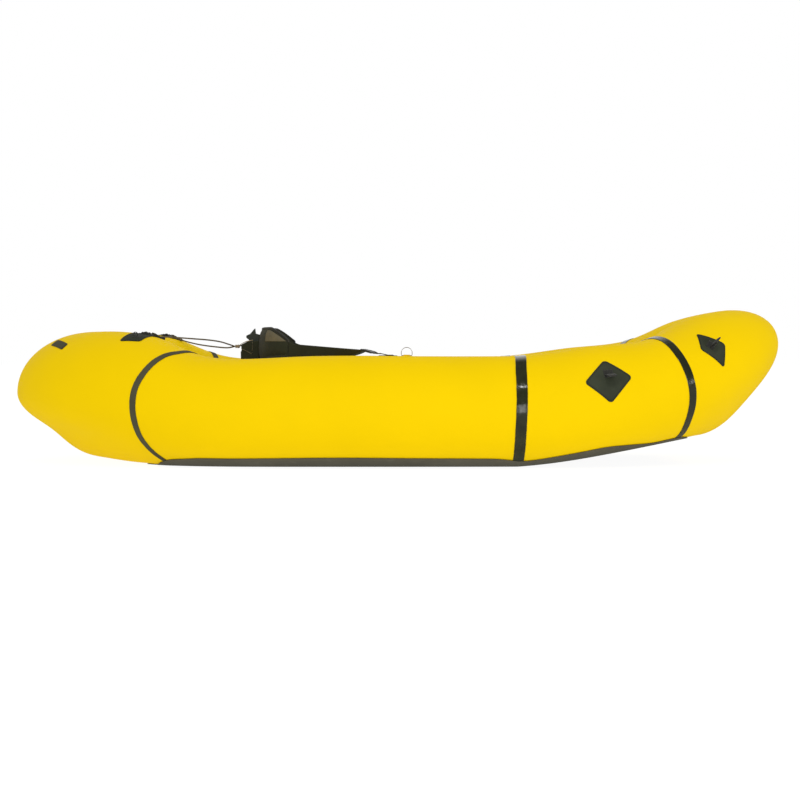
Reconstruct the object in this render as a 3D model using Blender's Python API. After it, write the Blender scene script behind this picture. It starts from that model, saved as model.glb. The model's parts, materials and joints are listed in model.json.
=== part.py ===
"""An inflatable packraft in metres: bow along +X, port along +Y, up along +Z, resting on z = 0."""
import bpy
import bmesh
import numpy as np
from math import ceil, copysign, cos, exp, floor, hypot, pi, radians, sin, tau
from mathutils import Matrix, Vector
from mathutils.bvhtree import BVHTree

for old in list(bpy.data.objects):
    bpy.data.objects.remove(old, do_unlink=True)

# Overall sizes of the raft
LENGTH = 2.236
WIDTH = 0.940
TUBE_DIAMETER = 0.297
TUBE_RADIUS = TUBE_DIAMETER / 2

# Fabric, tape and webbing
SKIN = 0.0010
TAPE_THICKNESS = 0.0009
STERN_TAPE_WIDTH = 0.019
MID_TAPE_WIDTH = 0.031
BOW_TAPE_WIDTH = 0.025
FLOOR_SKIN = 0.0015
PATCH_THICKNESS = 0.0014
WEBBING_THICKNESS = 0.0018
WEBBING_WIDTH = 0.025
CORD_DIAMETER = 0.004

# Clearances between pieces that touch, and the run-over of a cut
CLEAR = 0.0003
PATCH_SEAT = 0.0006
FLOOR_SEAT = 0.0011
OVERRUN = 0.004

# The hull's sections from the stern along the port tube to the bow: the outline's x and y as shares of half
# the length and half the width, the way the section faces in degrees, then as shares of the tube's radius
# the half width, crown, keel and rise of the underside, then the cut, lift and rake of the section.
STATION_SHARES = (
    (-0.998, 0.000, 180, 1.65, 1.27, 1.18, 0.07, 0.17, 0.05, 0.00),
    (-0.925, 0.430, 158, 1.50, 1.27, 1.18, 0.07, 0.16, 0.05, 0.00),
    (-0.745, 0.775, 134, 1.25, 1.19, 1.20, 0.02, 0.10, 0.02, -0.06),
    (-0.504, 0.965, 106, 1.05, 0.98, 1.04, 0.00, 0.00, 0.00, 0.00),
    (-0.244, 1.000, 92, 1.00, 1.01, 1.02, 0.00, 0.00, 0.00, 0.00),
    (0.024, 1.000, 90, 1.00, 1.02, 1.02, 0.00, 0.00, 0.00, 0.00),
    (0.283, 0.990, 89, 1.01, 1.02, 1.02, 0.00, 0.00, 0.00, 0.00),
    (0.516, 0.928, 79, 1.01, 1.01, 1.00, 0.21, 0.00, 0.00, 0.12),
    (0.731, 0.745, 60, 1.02, 0.92, 1.00, 0.45, 0.02, 0.04, 0.30),
    (0.921, 0.400, 25, 1.28, 1.02, 1.26, 0.50, 0.08, 0.18, 0.15),
    (0.998, 0.000, 0, 1.50, 1.01, 1.34, 0.51, 0.12, 0.30, 0.00),
)
BOW_STATION = len(STATION_SHARES) - 1
STERN_SEAM = 2.42
MID_SEAM = 6.05
BOW_SEAM = 7.92
RIM_STEPS = 30
SEAM_MARGIN_SHARE = 0.35
RISE_SLACK_SHARE = 0.006
NUDGE_SHARE = 0.001
PROBE_REACH = 0.020

# Where the floor fabric ends, in stations and as turns round the tube, and where the tapes end inside
FLOOR_FIRST = 0.4
FLOOR_LAST = 8.5
FLOOR_TAPER = 7.4
FLOOR_WRAP = radians(30)
FLOOR_TIP_WRAP = radians(5)
FLOOR_COLUMNS = 3
FLOOR_TIP_SEAT = 0.0058
LOWEST_STEP = radians(2)
TAPE_INNER_END = radians(260)

# Reinforcement patches: station, turn in degrees, half sizes along and round the tube, and their turn
PATCHES = {
    "stern_patch": (1.92, 78, 0.028, 0.038, 20),
    "rear_patch": (0.95, 49, 0.050, 0.0125, -10),
    "front_patch": (7.01, 23, 0.045, 0.046, -47),
    "bow_patch": (8.40, 34, 0.040, 0.038, -46),
}
PATCH_CORNERS = 20
PATCH_SQUARENESS = 5

# Webbing loops that flop on the front and bow patches: station, then turn, heading and dip in degrees
LOOPS = {
    "front_loop": (7.02, 28, 90, -55),
    "bow_loop": (8.41, 36, 67, -80),
}
LOOP_LENGTH = 0.034
LOOP_HEIGHT = 0.0065
LOOP_WIDTH = 0.025
LOOP_STEPS = 14
STERN_LOOP_DIAMETER = 0.015
STERN_LOOP_WIDTH = 0.012

# Stern strap and its ladder lock, on the hull's stern top
STERN_FITTING_STATION = 1.86
STERN_BUCKLE_TURN = radians(101)
STERN_LOOP_REACH = 0.049
STERN_STRAP_LENGTH = 0.036
STERN_STRAP_WIDTH = 0.018
STERN_STRAP_LIFTS = (0.0041, 0.0041, 0.0038, 0.0030, 0.0026)
BUCKLE_LENGTH = 0.036
BUCKLE_WIDTH = 0.027
BUCKLE_THICKNESS = 0.006
BUCKLE_SLOT = 0.0036
BUCKLE_BAR = 0.006
BUCKLE_OUTLINE_SHARES = ((-1, 0), (-1, 0.55), (-0.8, 0.9), (-0.2, 1), (0.6, 0.9), (1, 0.55), (1, 0))
BUCKLE_SLOT_SHARES = (-0.42, 0.42)

# Side straps' front ends, on the tubes' tops
SIDE_ANCHOR_STATION = 4.82
SIDE_ANCHOR_TURN = radians(98)
SIDE_ANCHOR_HALF_SIZES = (0.026, 0.018)
SIDE_STRAP_TAIL = 0.014
SIDE_STRAP_BULGE = 0.002
SIDE_STRAP_WIDTH = 0.016
SIDE_BUCKLE_STATION = 4.63
SIDE_BUCKLE_TURN = radians(103.5)
SIDE_BUCKLE_LIFT = 0.0148
SIDE_BUCKLE_PITCH = radians(14)
SIDE_BUCKLE_YAW = radians(26)
WING_STRAP_START_SHARE = 0.87
WING_STRAP_SAG = 0.001
WING_STRAP_WIDTH = 0.020
WING_STRAP_STEPS = 8

# Seat cushion, between the tubes
SEAT_REAR = -0.450
SEAT_FRONT = -0.085
SEAT_GAP = 0.005
SEAT_HALF_WIDTH = WIDTH / 2 - TUBE_DIAMETER - SEAT_GAP
SEAT_HEIGHT = 0.082
SEAT_RIM = 0.016
SEAT_CELLS = (14, 16)
SEAT_CHANNEL_SHARES = (-0.375, 0.375)
SEAT_CHANNEL_DEPTH = 0.016
SEAT_CHANNEL_WIDTH = 0.016
SEAT_CROWN = 0.014
SEAT_VALVE_BORE = 0.0045
SEAT_VALVE_RADIUS = 0.0075
SEAT_VALVE_LENGTH = 0.020
SEAT_VALVE_FLANGE = 0.013
SEAT_VALVE_LIP = 0.003
SEAT_PLUG_RADIUS = 0.0095
SEAT_VALVE_SHARES = (0.72, 0.0)
SEAT_VALVE_SINK = 0.0020
SEAT_DRAW_SHARE = 0.05
SEAT_FOOT_SHARE = 0.94

# Backrest: an inflated band, bent forward into two wings, that stands on a rolled hem
BACK_X = -0.396
BACK_GAP = 0.023
BACK_HALF_WIDTH = WIDTH / 2 - TUBE_DIAMETER - BACK_GAP
BACK_REACH = 0.100
BACK_WING = radians(80)
BACK_THICKNESS = 0.044
BACK_RIM = 0.006
BACK_TOP = 0.382
BACK_WING_TOP = 0.334
BACK_WING_LOW = 0.236
BACK_TOP_BEND = radians(46)
BACK_CELLS = (22, 12)
BACK_CHANNEL_SHARES = (0.36, 0.66)
BACK_CHANNEL_SHARE = 0.34
BACK_CHANNEL_SPREAD_SHARE = 0.055
BACK_WING_THIN_SHARE = 0.72
HEM_X = -0.3955
HEM_Z = 0.122
HEM_RADIUS = 0.005
HEM_INSET = 0.016
HEM_HALF_LENGTH = BACK_HALF_WIDTH - HEM_INSET
ANCHOR_CUP_RADIUS = 0.008
ANCHOR_CUP_LENGTH = 0.024
ANCHOR_WIDTH = 0.026
BINDING_RADIUS = 0.003
BINDING_SEAT = 0.0006
SIDE_PANEL_CELLS = ((14, 22), (10, 13))
SIDE_PANEL_THICKNESS = 0.0012

# Harness behind the backrest
SLEEVE_REAR = -0.461
SLEEVE_TOP = 0.325
SLEEVE_LOW = 0.215
SLEEVE_HALF_WIDTH = 0.030
SLEEVE_SLANT = 0.030
SLEEVE_CORNER = 0.006
ADJUSTER_THICKNESS = 0.024
ADJUSTER_LOW = 0.344
ADJUSTER_HEIGHT = 0.040
ADJUSTER_DEPTH = 0.027
ADJUSTER_STANDOFF = 0.0320
ADJUSTER_SEAT_SHARE = 0.51
ADJUSTER_SHARES = ((0.43, 0), (1, 0.30), (1, 0.46), (0.58, 0.59), (0.06, 1), (0, 0.62))
HOOK_PLACE = Vector((-0.4730, 0, 0.3340))
HOOK_RADIUS = 0.0052
HOOK_LENGTH = 0.012
HOOK_CHAMFER = 0.0006
BRIDLE_DIAMETER = 0.003
BRIDLE_ROUTE = ((-0.4560, 0, 0.3385), (-0.4380, 0, 0.3420))

# Main valve, on the port tube's inner top
VALVE_STATION = 5.0
VALVE_TURN = radians(126)
VALVE_FLANGE_RADIUS = 0.036
VALVE_BODY_RADIUS = 0.021
VALVE_BORE = 0.0185
VALVE_DEPTH = 0.020
VALVE_NECK = 0.0075
VALVE_COLLAR_LIP = 0.0035
VALVE_COLLAR_RADIUS = VALVE_BODY_RADIUS + VALVE_COLLAR_LIP
VALVE_COLLAR = 0.0030
VALVE_SEAT_THICKNESS = 0.003
VALVE_SEAT_BORE = 0.0125
VALVE_STEM_RADIUS = 0.0022
VALVE_DISC_RADIUS = 0.0155
VALVE_DISC = 0.0022
VALVE_BUTTON_RADIUS = 0.0100
VALVE_BUTTON = 0.0025
VALVE_SPRING_RADIUS = 0.0055
VALVE_SPRING_WIRE = 0.0012
VALVE_SPRING_TURNS = 4
VALVE_SPRING_STEPS = 8
VALVE_SPIDER_ARMS = 3
VALVE_ARM_WIDTH = 0.0035
VALVE_TRAVEL = 0.004
CAP_HEIGHT = 0.009
CAP_WALL = 0.0022
CAP_RIBS = 8
CAP_RIB_RADIUS = 0.0022
CAP_RIB_STEPS = 8
GASKET_THICKNESS = 0.0016

# The thin leash hoop beside the valve
HOOP_STATION = 5.0
HOOP_TURN = radians(98)
HOOP_WIDTH = 0.034
HOOP_HEIGHT = 0.026
HOOP_WIRE = 0.0020
HOOP_TUBE_LENGTH = 0.020
HOOP_TUBE_WALL = 0.0012
HOOP_CORNER = 0.003
HOOP_ARC_STEPS = 12
HOOP_PATCH_HALF_SIZES = (0.019, 0.012)

# Shock cords from the stern buckles to the backrest's hook: each route's own points
STERN_CORD_ROUTES = {
    "left": ((-0.6730, 0.1840, 0.3600), (-0.6520, 0.1660, 0.3520), (-0.6149, 0.1350, 0.3430),
             (-0.5830, 0.1060, 0.3375), (-0.5407, 0.0690, 0.3325), (-0.5050, 0.0320, 0.3300),
             (-0.4809, 0.0030, 0.3340)),
    "right": ((-0.6730, -0.1840, 0.3600), (-0.6440, -0.1640, 0.3590), (-0.5999, -0.1280, 0.3558),
              (-0.5500, -0.0840, 0.3520), (-0.5180, -0.0480, 0.3470), (-0.4970, -0.0210, 0.3400),
              (-0.4806, -0.0030, 0.3340)),
}
CORD_POINTS = 24
ROUND_STEPS = 24
SMOOTH_ANGLE = radians(35)


# Materials

def finish(name, colour, roughness, metallic=0.0):
    """A material of one linear colour, roughness and metallic value."""
    material = bpy.data.materials.new(name)
    material.use_nodes = True
    shader = material.node_tree.nodes["Principled BSDF"]
    shader.inputs["Base Color"].default_value = (*colour, 1)
    shader.inputs["Roughness"].default_value = roughness
    shader.inputs["Metallic"].default_value = metallic
    material.diffuse_color = (*colour, 1)
    return material


YELLOW = finish("yellow_coated_fabric", (0.85, 0.58, 0.002), 0.55)
GLOSS_TAPE = finish("gloss_seam_tape", (0.020, 0.022, 0.008), 0.25)
MATT_TAPE = finish("matt_seam_tape", (0.070, 0.067, 0.036), 0.75)
FLOOR_FABRIC = finish("floor_fabric", (0.090, 0.085, 0.060), 0.80)
PATCH_FABRIC = finish("patch_fabric", (0.040, 0.046, 0.028), 0.80)
WEBBING = finish("webbing", (0.020, 0.021, 0.016), 0.85)
BACK_FABRIC = finish("backrest_fabric", (0.045, 0.040, 0.020), 0.85)
PANEL_FABRIC = finish("backrest_panel_fabric", (0.160, 0.138, 0.090), 0.85)
SEAT_FABRIC = finish("seat_fabric", (0.050, 0.045, 0.026), 0.85)
GREEN_PLASTIC = finish("green_plastic", (0.030, 0.036, 0.026), 0.50)
BLACK_PLASTIC = finish("black_plastic", (0.022, 0.023, 0.021), 0.45)
RUBBER = finish("rubber", (0.015, 0.015, 0.015), 0.70)
STEEL = finish("spring_steel", (0.55, 0.55, 0.53), 0.30, 1.0)
CORD_SHEATH = finish("cord_sheath", (0.110, 0.090, 0.060), 0.80)
TAN_PLASTIC = finish("tan_plastic", (0.300, 0.230, 0.140), 0.60)
HOOP_FINISH = finish("hoop_plastic", (0.230, 0.190, 0.150), 0.50)


# Mesh helpers

def solid(name, points, faces, material, side=1):
    """An object from points and faces, mirrored to starboard where side is -1, with its faces pointing out."""
    mesh = bpy.data.meshes.new(name)
    mesh.from_pydata([(p[0], p[1] * side, p[2]) for p in points], [], faces)
    shape = bmesh.new()
    shape.from_mesh(mesh)
    bmesh.ops.recalc_face_normals(shape, faces=shape.faces)
    shape.to_mesh(mesh)
    shape.free()
    return placed(name, mesh, material)


def placed(name, mesh, material):
    """An object that holds the mesh, shaded smooth away from its sharp edges."""
    mesh.shade_smooth()
    mesh.set_sharp_from_angle(angle=SMOOTH_ANGLE)
    item = bpy.data.objects.new(name, mesh)
    item.data.materials.append(material)
    bpy.context.collection.objects.link(item)
    return item


def sheet(name, outer, inner, material, side=1, ring=False, flip_from=None):
    """A closed sheet between two like grids of points; a ring sheet's columns meet round a tube.

    From the row flip_from on, each cell is split into triangles along its other diagonal."""
    rows, columns = len(outer), len(outer[0])
    points = [point for grid in (outer, inner) for row in grid for point in row]
    spans = columns if ring else columns - 1

    def corner(layer, row, column):
        return (layer * rows + row) * columns + column % columns

    faces = []
    for layer in (0, 1):
        for row in range(rows - 1):
            for column in range(spans):
                a, b = corner(layer, row, column), corner(layer, row, column + 1)
                c, d = corner(layer, row + 1, column + 1), corner(layer, row + 1, column)
                flipped = flip_from is not None and row >= flip_from
                faces += [(a, b, d), (b, c, d)] if flipped else [(a, b, c), (a, c, d)]
    for row in (0, rows - 1):
        for column in range(spans):
            faces.append((corner(0, row, column), corner(1, row, column),
                          corner(1, row, column + 1), corner(0, row, column + 1)))
    if not ring:
        for column in (0, columns - 1):
            for row in range(rows - 1):
                faces.append((corner(0, row, column), corner(1, row, column),
                              corner(1, row + 1, column), corner(0, row + 1, column)))
    return solid(name, points, faces, material, side)


def turned(name, profile, frame, material, side=1, steps=ROUND_STEPS):
    """A closed profile of radius and height pairs spun about the frame's Z; a radius of zero is a pole."""
    points, rings = [], []
    for radius, height in profile:
        if radius == 0:
            rings.append([len(points)] * steps)
            points.append(frame @ Vector((0, 0, height)))
            continue
        rings.append(list(range(len(points), len(points) + steps)))
        for step in range(steps):
            angle = step * tau / steps
            points.append(frame @ Vector((radius * cos(angle), radius * sin(angle), height)))
    faces = []
    for near, far in zip(rings, rings[1:] + rings[:1]):
        for step in range(steps):
            corners = (near[step], near[(step + 1) % steps], far[(step + 1) % steps], far[step])
            face = list(dict.fromkeys(corners))
            if len(face) > 2:
                faces.append(face)
    return solid(name, points, faces, material, side)


def prism(name, outline, half_depth, frame, material, side=1):
    """An outline of x and z places in the frame, extruded both ways along the frame's Y."""
    count = len(outline)
    points = [frame @ Vector((x, depth, z)) for depth in (-half_depth, half_depth) for x, z in outline]
    faces = [tuple(range(count)), tuple(range(count, 2 * count))]
    faces += [(i, (i + 1) % count, count + (i + 1) % count, count + i) for i in range(count)]
    return solid(name, points, faces, material, side)


def band(name, outer, inner, half_depth, frame, material, side=1):
    """A closed band between two like outlines of x and z places, extruded along the frame's Y."""
    count = len(outer)
    points = [frame @ Vector((x, depth, z)) for outline in (outer, inner)
              for depth in (-half_depth, half_depth) for x, z in outline]
    faces = []
    for i in range(count):
        j = (i + 1) % count
        for first, second in ((0, 1), (1, 3), (3, 2), (2, 0)):
            faces.append((first * count + i, first * count + j, second * count + j, second * count + i))
    return solid(name, points, faces, material, side)


def ribbon(name, path, across, width, thickness, material, side=1):
    """Webbing along a path, with the direction of its width at each point."""
    outer, inner = [], []
    for i, point in enumerate(path):
        ahead = (path[min(i + 1, len(path) - 1)] - path[max(i - 1, 0)]).normalized()
        wide = (across[i] - ahead * across[i].dot(ahead)).normalized()
        face = wide.cross(ahead).normalized()
        edges = [point + wide * (width * share) for share in (-0.5, 0, 0.5)]
        outer.append([edge + face * thickness / 2 for edge in edges])
        inner.append([edge - face * thickness / 2 for edge in edges])
    return sheet(name, outer, inner, material, side)


def tube(name, path, diameter, material, side=1, closed=False, resolution=2):
    """A round cord along a path, as a curve with filled caps."""
    curve = bpy.data.curves.new(name, "CURVE")
    curve.dimensions = "3D"
    curve.bevel_depth = diameter / 2
    curve.bevel_resolution = resolution
    curve.use_fill_caps = True
    spline = curve.splines.new("POLY")
    spline.points.add(len(path) - 1)
    for target, point in zip(spline.points, path):
        target.co = (point[0], point[1] * side, point[2], 1)
    spline.use_cyclic_u = closed
    item = bpy.data.objects.new(name, curve)
    item.data.materials.append(material)
    bpy.context.collection.objects.link(item)
    return item


def smooth_path(places, count):
    """Points evenly spread by parameter on one smooth curve through the given places."""
    places = [Vector(place) for place in places]
    last = len(places) - 1
    path = []
    for step in range(count):
        at = step * last / (count - 1)
        index = min(int(at), last - 1)
        t = at - index
        a, b = places[max(index - 1, 0)], places[index]
        c, d = places[index + 1], places[min(index + 2, last)]
        path.append((b * 2 + (c - a) * t + (a * 2 - b * 5 + c * 4 - d) * t * t
                     + (b * 3 - a - c * 3 + d) * t ** 3) / 2)
    return path


def combine(target, tool, operation):
    """Cuts the tool object out of the target or joins it on, and keeps the tool as a hidden guide."""
    tool.hide_render = True
    tool.display_type = "WIRE"
    boolean = target.modifiers.new(tool.name, "BOOLEAN")
    boolean.operation = operation
    boolean.object = tool


def hang(name, place, axis, pieces, side=1):
    """An empty on a joint's axis, with its Z along the axis, that carries the pieces that move on it."""
    frame = axis_frame(Vector((place[0], place[1] * side, place[2])), (axis[0], axis[1] * side, axis[2]))
    empty = bpy.data.objects.new(name, None)
    empty.matrix_world = frame
    bpy.context.collection.objects.link(empty)
    for piece in pieces:
        item = bpy.data.objects[piece]
        item.parent = empty
        item.matrix_parent_inverse = frame.inverted()


def axis_frame(place, axis):
    """A frame at the place with its Z along the axis."""
    return Matrix.Translation(place) @ Vector(axis).normalized().to_track_quat("Z", "Y").to_matrix().to_4x4()


# The hull's surface

def ring_controls():
    """Control rows of one closed cubic spline through the stations and their starboard mirror images."""
    rows = []
    for x, y, facing, wide, crown, keel, rise, trim, lift, rake in STATION_SHARES:
        heading = radians(facing)
        rows.append((x * LENGTH / 2, y * WIDTH / 2, cos(heading), sin(heading), wide * TUBE_RADIUS,
                     crown * TUBE_RADIUS, keel * TUBE_RADIUS, rise * TUBE_RADIUS, trim, lift, rake))
    rows = np.array(rows)
    mirror = rows[-2:0:-1] * np.array((1, -1, 1, -1, 1, 1, 1, 1, 1, 1, 1))
    ring = np.vstack((rows, mirror))
    each = np.eye(len(ring))
    return np.linalg.solve((4 * each + np.roll(each, 1, 1) + np.roll(each, -1, 1)) / 6, ring)


RING = ring_controls()


def hull_point(station, turn):
    """A point of the hull: the station runs round the raft, the turn goes from the tube's outside over its top."""
    index = int(np.floor(station))
    t = station - index
    weights = ((1 - t) ** 3, 3 * t ** 3 - 6 * t ** 2 + 4, -3 * t ** 3 + 3 * t ** 2 + 3 * t + 1, t ** 3)
    values = sum(weight * RING[(index - 1 + k) % len(RING)] for k, weight in enumerate(weights)) / 6
    x, y, face_x, face_y, wide, crown, keel, rise, trim, lift, rake = (float(value) for value in values)
    facing = Vector((face_x, face_y)).normalized()
    out, up = cos(turn), sin(turn)
    if out > 0 > up:
        drawn = 1 - trim * sin(2 * turn) ** 2
        out, up = out * drawn, up * drawn
    across = wide * (out - 1)
    height = (crown if up > 0 else keel) * up
    ahead = facing.y if facing.y >= 0 else -facing.y
    back = -facing.x if facing.y >= 0 else facing.x
    return Vector((x + across * facing.x - rake * height * ahead,
                   y + across * facing.y - rake * height * back,
                   FLOOR_SKIN + FLOOR_SEAT + max(rise - RISE_SLACK_SHARE * TUBE_RADIUS, 0)
                   + keel + height + lift * wide * out))


def hull_slopes(station, turn):
    """How the surface runs for one station and for one radian of turn."""
    along = hull_point(station + NUDGE_SHARE, turn) - hull_point(station - NUDGE_SHARE, turn)
    around = hull_point(station, turn + NUDGE_SHARE) - hull_point(station, turn - NUDGE_SHARE)
    return along / (2 * NUDGE_SHARE), around / (2 * NUDGE_SHARE)


def lifted(station, turn, lift):
    """A point at a height over the hull's surface, or under it where the height is negative."""
    along, around = hull_slopes(station, turn)
    return hull_point(station, turn) + around.cross(along).normalized() * lift


def row_point(row, turn, lift):
    """A point on a row, which is a station and a distance past it measured on the surface."""
    station, shift = row
    along, around = hull_slopes(station, turn)
    return lifted(station + shift / along.length, turn, lift)


def surface_frame(station, turn, heading=0.0):
    """A frame on the surface: X along the tube, turned by the heading, and Z straight out."""
    along, around = hull_slopes(station, turn)
    out = around.cross(along).normalized()
    ahead = Matrix.Rotation(heading, 3, out) @ along.normalized()
    aside = out.cross(ahead)
    frame = Matrix((ahead, aside, out)).transposed().to_4x4()
    frame.translation = hull_point(station, turn)
    return frame


# Hull panels, tapes and floor

def panel_rows(first, last, first_width, last_width, count):
    """Rows of one panel, with a row at each seam and one under each tape's edge."""
    start, end = first + SEAM_MARGIN_SHARE, last - SEAM_MARGIN_SHARE
    rows = [(first, CLEAR / 2), (first, first_width / 2)]
    rows += [(start + (end - start) * step / (count - 1), 0) for step in range(count)]
    return rows + [(last, -last_width / 2), (last, -CLEAR / 2)]


STERN_ROWS = panel_rows(-STERN_SEAM, STERN_SEAM, STERN_TAPE_WIDTH, STERN_TAPE_WIDTH, 9)
SIDE_ROWS = panel_rows(STERN_SEAM, MID_SEAM, STERN_TAPE_WIDTH, MID_TAPE_WIDTH, 5)
FRONT_ROWS = panel_rows(MID_SEAM, BOW_SEAM, MID_TAPE_WIDTH, BOW_TAPE_WIDTH, 3)
BOW_ROWS = panel_rows(BOW_SEAM, 2 * BOW_STATION - BOW_SEAM, BOW_TAPE_WIDTH, BOW_TAPE_WIDTH, 9)
RIM_TURNS = [step * tau / RIM_STEPS for step in range(RIM_STEPS)]
PORT_PANELS = ((STERN_ROWS, 0), (SIDE_ROWS, None), (FRONT_ROWS, None), (BOW_ROWS, None))


def hull_panel(name, rows, side=1, flip_from=None):
    outer = [[row_point(row, turn, 0) for turn in RIM_TURNS] for row in rows]
    inner = [[row_point(row, turn, -SKIN) for turn in RIM_TURNS] for row in rows]
    return sheet(name, outer, inner, YELLOW, side, ring=True, flip_from=flip_from)


def port_facets():
    """The facets of the panels that lie on the port side, to seat the fittings on."""
    points, faces = [], []
    for name in ("hull_stern", "hull_side_left", "hull_front_left", "hull_bow"):
        mesh = bpy.data.objects[name].data
        faces += [[len(points) + corner for corner in face.vertices] for face in mesh.polygons]
        points += [corner.co.copy() for corner in mesh.vertices]
    return BVHTree.FromPolygons(points, faces)


def seam_tape(name, seam, width, material, side):
    """A welded tape over a seam, from the floor's edge outside over the tube to the floor inside."""
    start = FLOOR_WRAP - pi / 2
    turns = [start + 2 * CLEAR / TUBE_RADIUS]
    turns += [start + step * tau / RIM_STEPS for step in range(1, RIM_STEPS)
              if start + step * tau / RIM_STEPS < TAPE_INNER_END + NUDGE_SHARE]
    rows = [(seam, -width / 2), (seam, 0), (seam, width / 2)]
    outer = [[row_point(row, turn, CLEAR + TAPE_THICKNESS) for turn in turns] for row in rows]
    inner = [[row_point(row, turn, CLEAR) for turn in turns] for row in rows]
    return sheet(name, outer, inner, material, side)


def floor_wrap(station):
    """How fully the floor wraps up the tube's outside, as a share: all along the sides, less at the ends."""
    reach = min((station - FLOOR_FIRST) / (STERN_SEAM - FLOOR_FIRST),
                (FLOOR_LAST - station) / (FLOOR_LAST - FLOOR_TAPER), 1)
    return max(reach, 0)


def lowest_height(row):
    """The tube's lowest height at a row, which lies further in than straight down under the bow."""
    station = row[0]
    turn = -pi / 2
    while hull_point(station, turn - LOWEST_STEP).z < hull_point(station, turn).z:
        turn -= LOWEST_STEP
    return hull_point(station, turn).z


def floor_half(row, lift):
    """One row of the floor on the port side, from its outer edge in to the tube's lowest line."""
    share = floor_wrap(row[0])
    wrap = FLOOR_TIP_WRAP + (FLOOR_WRAP - FLOOR_TIP_WRAP) * share
    lift += FLOOR_TIP_SEAT * (1 - share)
    half = [row_point(row, wrap * (1 - step / FLOOR_COLUMNS) - pi / 2, lift) for step in range(FLOOR_COLUMNS)]
    keel = row_point(row, -pi / 2, 0)
    return half + [Vector((keel.x, keel.y, lowest_height(row) - lift))]


def floor_sheet():
    rows = [row for row in STERN_ROWS + SIDE_ROWS + FRONT_ROWS + BOW_ROWS if FLOOR_FIRST < row[0] < FLOOR_LAST]
    grids = []
    for lift in (FLOOR_SEAT + FLOOR_SKIN, FLOOR_SEAT):
        halves = [floor_half(row, lift) for row in rows]
        grids.append([half + [Vector((p.x, -p.y, p.z)) for p in reversed(half)] for half in halves])
    return sheet("floor_sheet", grids[0], grids[1], FLOOR_FABRIC)


# Patches and loops on the hull

def dropped(place, out, lift):
    """A point at a height over the hull's facets, straight under or over a place."""
    return FACETS.ray_cast(place + out * PROBE_REACH, -out)[0] + out * lift


def seated(station, turn, lift):
    """A point at a height over the hull's facets, measured square to the true surface."""
    along, around = hull_slopes(station, turn)
    return dropped(hull_point(station, turn), around.cross(along).normalized(), lift)


def seat_frame(station, turn, lift, heading=0.0):
    """A frame on the hull's facets: X along the tube, turned by the heading, and Z straight out."""
    frame = surface_frame(station, turn, heading)
    frame.translation = seated(station, turn, lift)
    return frame


def cloth(name, station, turn, reach, side):
    """A sheet a little over the hull's facets, all round a place, that patches are cut from."""
    along, around = hull_slopes(station, turn)
    rows, flip_from = next(panel for panel in PORT_PANELS if station < panel[0][-1][0])
    first = max(i for i, row in enumerate(rows) if row[0] <= station - reach / along.length)
    last = min(i for i, row in enumerate(rows) if row[0] >= station + reach / along.length)
    cell, swing = tau / RIM_STEPS, reach / around.length
    turns = [step * cell for step in range(floor((turn - swing) / cell), ceil((turn + swing) / cell) + 1)]
    outer, inner = ([[row_point(row, place, lift) for place in turns] for row in rows[first:last + 1]]
                    for lift in (PATCH_SEAT + PATCH_THICKNESS, PATCH_SEAT))
    return sheet(name, outer, inner, PATCH_FABRIC, side, flip_from=flip_from)


def patch(name, station, turn, half_along, half_around, tilt, material, side):
    """A round-cornered patch, cut out of the cloth over the hull's facets."""
    outline = []
    for step in range(PATCH_CORNERS):
        x, y = (copysign(abs(share) ** (2 / PATCH_SQUARENESS), share)
                for share in (cos(step * tau / PATCH_CORNERS), sin(step * tau / PATCH_CORNERS)))
        outline.append((x * half_along, y * half_around))
    frame = surface_frame(station, turn, tilt) @ Matrix.Rotation(pi / 2, 4, "X")
    item = prism(name, outline, PROBE_REACH, frame, material, side)
    combine(item, cloth(name + "_cloth", station, turn, hypot(half_along, half_around), side), "INTERSECT")
    return item


def oval(length, height, inset=0.0):
    """An oval outline that stands on the origin's left end, drawn in by the inset."""
    return [(length / 2 - (length / 2 - inset) * cos(step * tau / LOOP_STEPS),
             height / 2 + (height / 2 - inset) * sin(step * tau / LOOP_STEPS)) for step in range(LOOP_STEPS)]


def webbing_loop(name, label, side):
    """A flat loop of webbing that lies on its patch and flops about its sewn end."""
    station, turn, heading, dip = LOOPS[name]
    frame = seat_frame(station, radians(turn), PATCH_SEAT + PATCH_THICKNESS + 3 * CLEAR, radians(heading))
    lean = Matrix.Rotation(radians(dip), 4, "Y")
    outline = oval(LOOP_LENGTH, LOOP_HEIGHT)
    low = min((lean @ Vector((x, 0, z))).z for x, z in outline)
    frame = frame @ Matrix.Translation((0, 0, -low)) @ lean
    band(name + "_" + label, outline, oval(LOOP_LENGTH, LOOP_HEIGHT, WEBBING_THICKNESS),
         LOOP_WIDTH / 2, frame, WEBBING, side)
    axis = frame.to_3x3() @ Vector((0, 1, 0))
    hang(name + "_axis_" + label, frame @ Vector((0, 0, LOOP_HEIGHT / 2)), axis, [name + "_" + label], side)


# Stern straps, buckles and shock cords

def ladder_lock(name, frame, material, side):
    """A flat buckle with two slots; the frame's X runs along the strap."""
    half_length, half_width = BUCKLE_LENGTH / 2, BUCKLE_WIDTH / 2
    outline = [(x * half_length, z * BUCKLE_THICKNESS) for x, z in BUCKLE_OUTLINE_SHARES]
    body = prism(name, outline, half_width, frame, material, side)
    for share in BUCKLE_SLOT_SHARES:
        middle = share * half_length
        slot = prism(name + "_slot", [(middle - BUCKLE_SLOT / 2, -OVERRUN), (middle + BUCKLE_SLOT / 2, -OVERRUN),
                                      (middle + BUCKLE_SLOT / 2, BUCKLE_THICKNESS + OVERRUN),
                                      (middle - BUCKLE_SLOT / 2, BUCKLE_THICKNESS + OVERRUN)],
                     half_width - BUCKLE_BAR / 2, frame, material, side)
        combine(body, slot, "DIFFERENCE")
    return body


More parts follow.
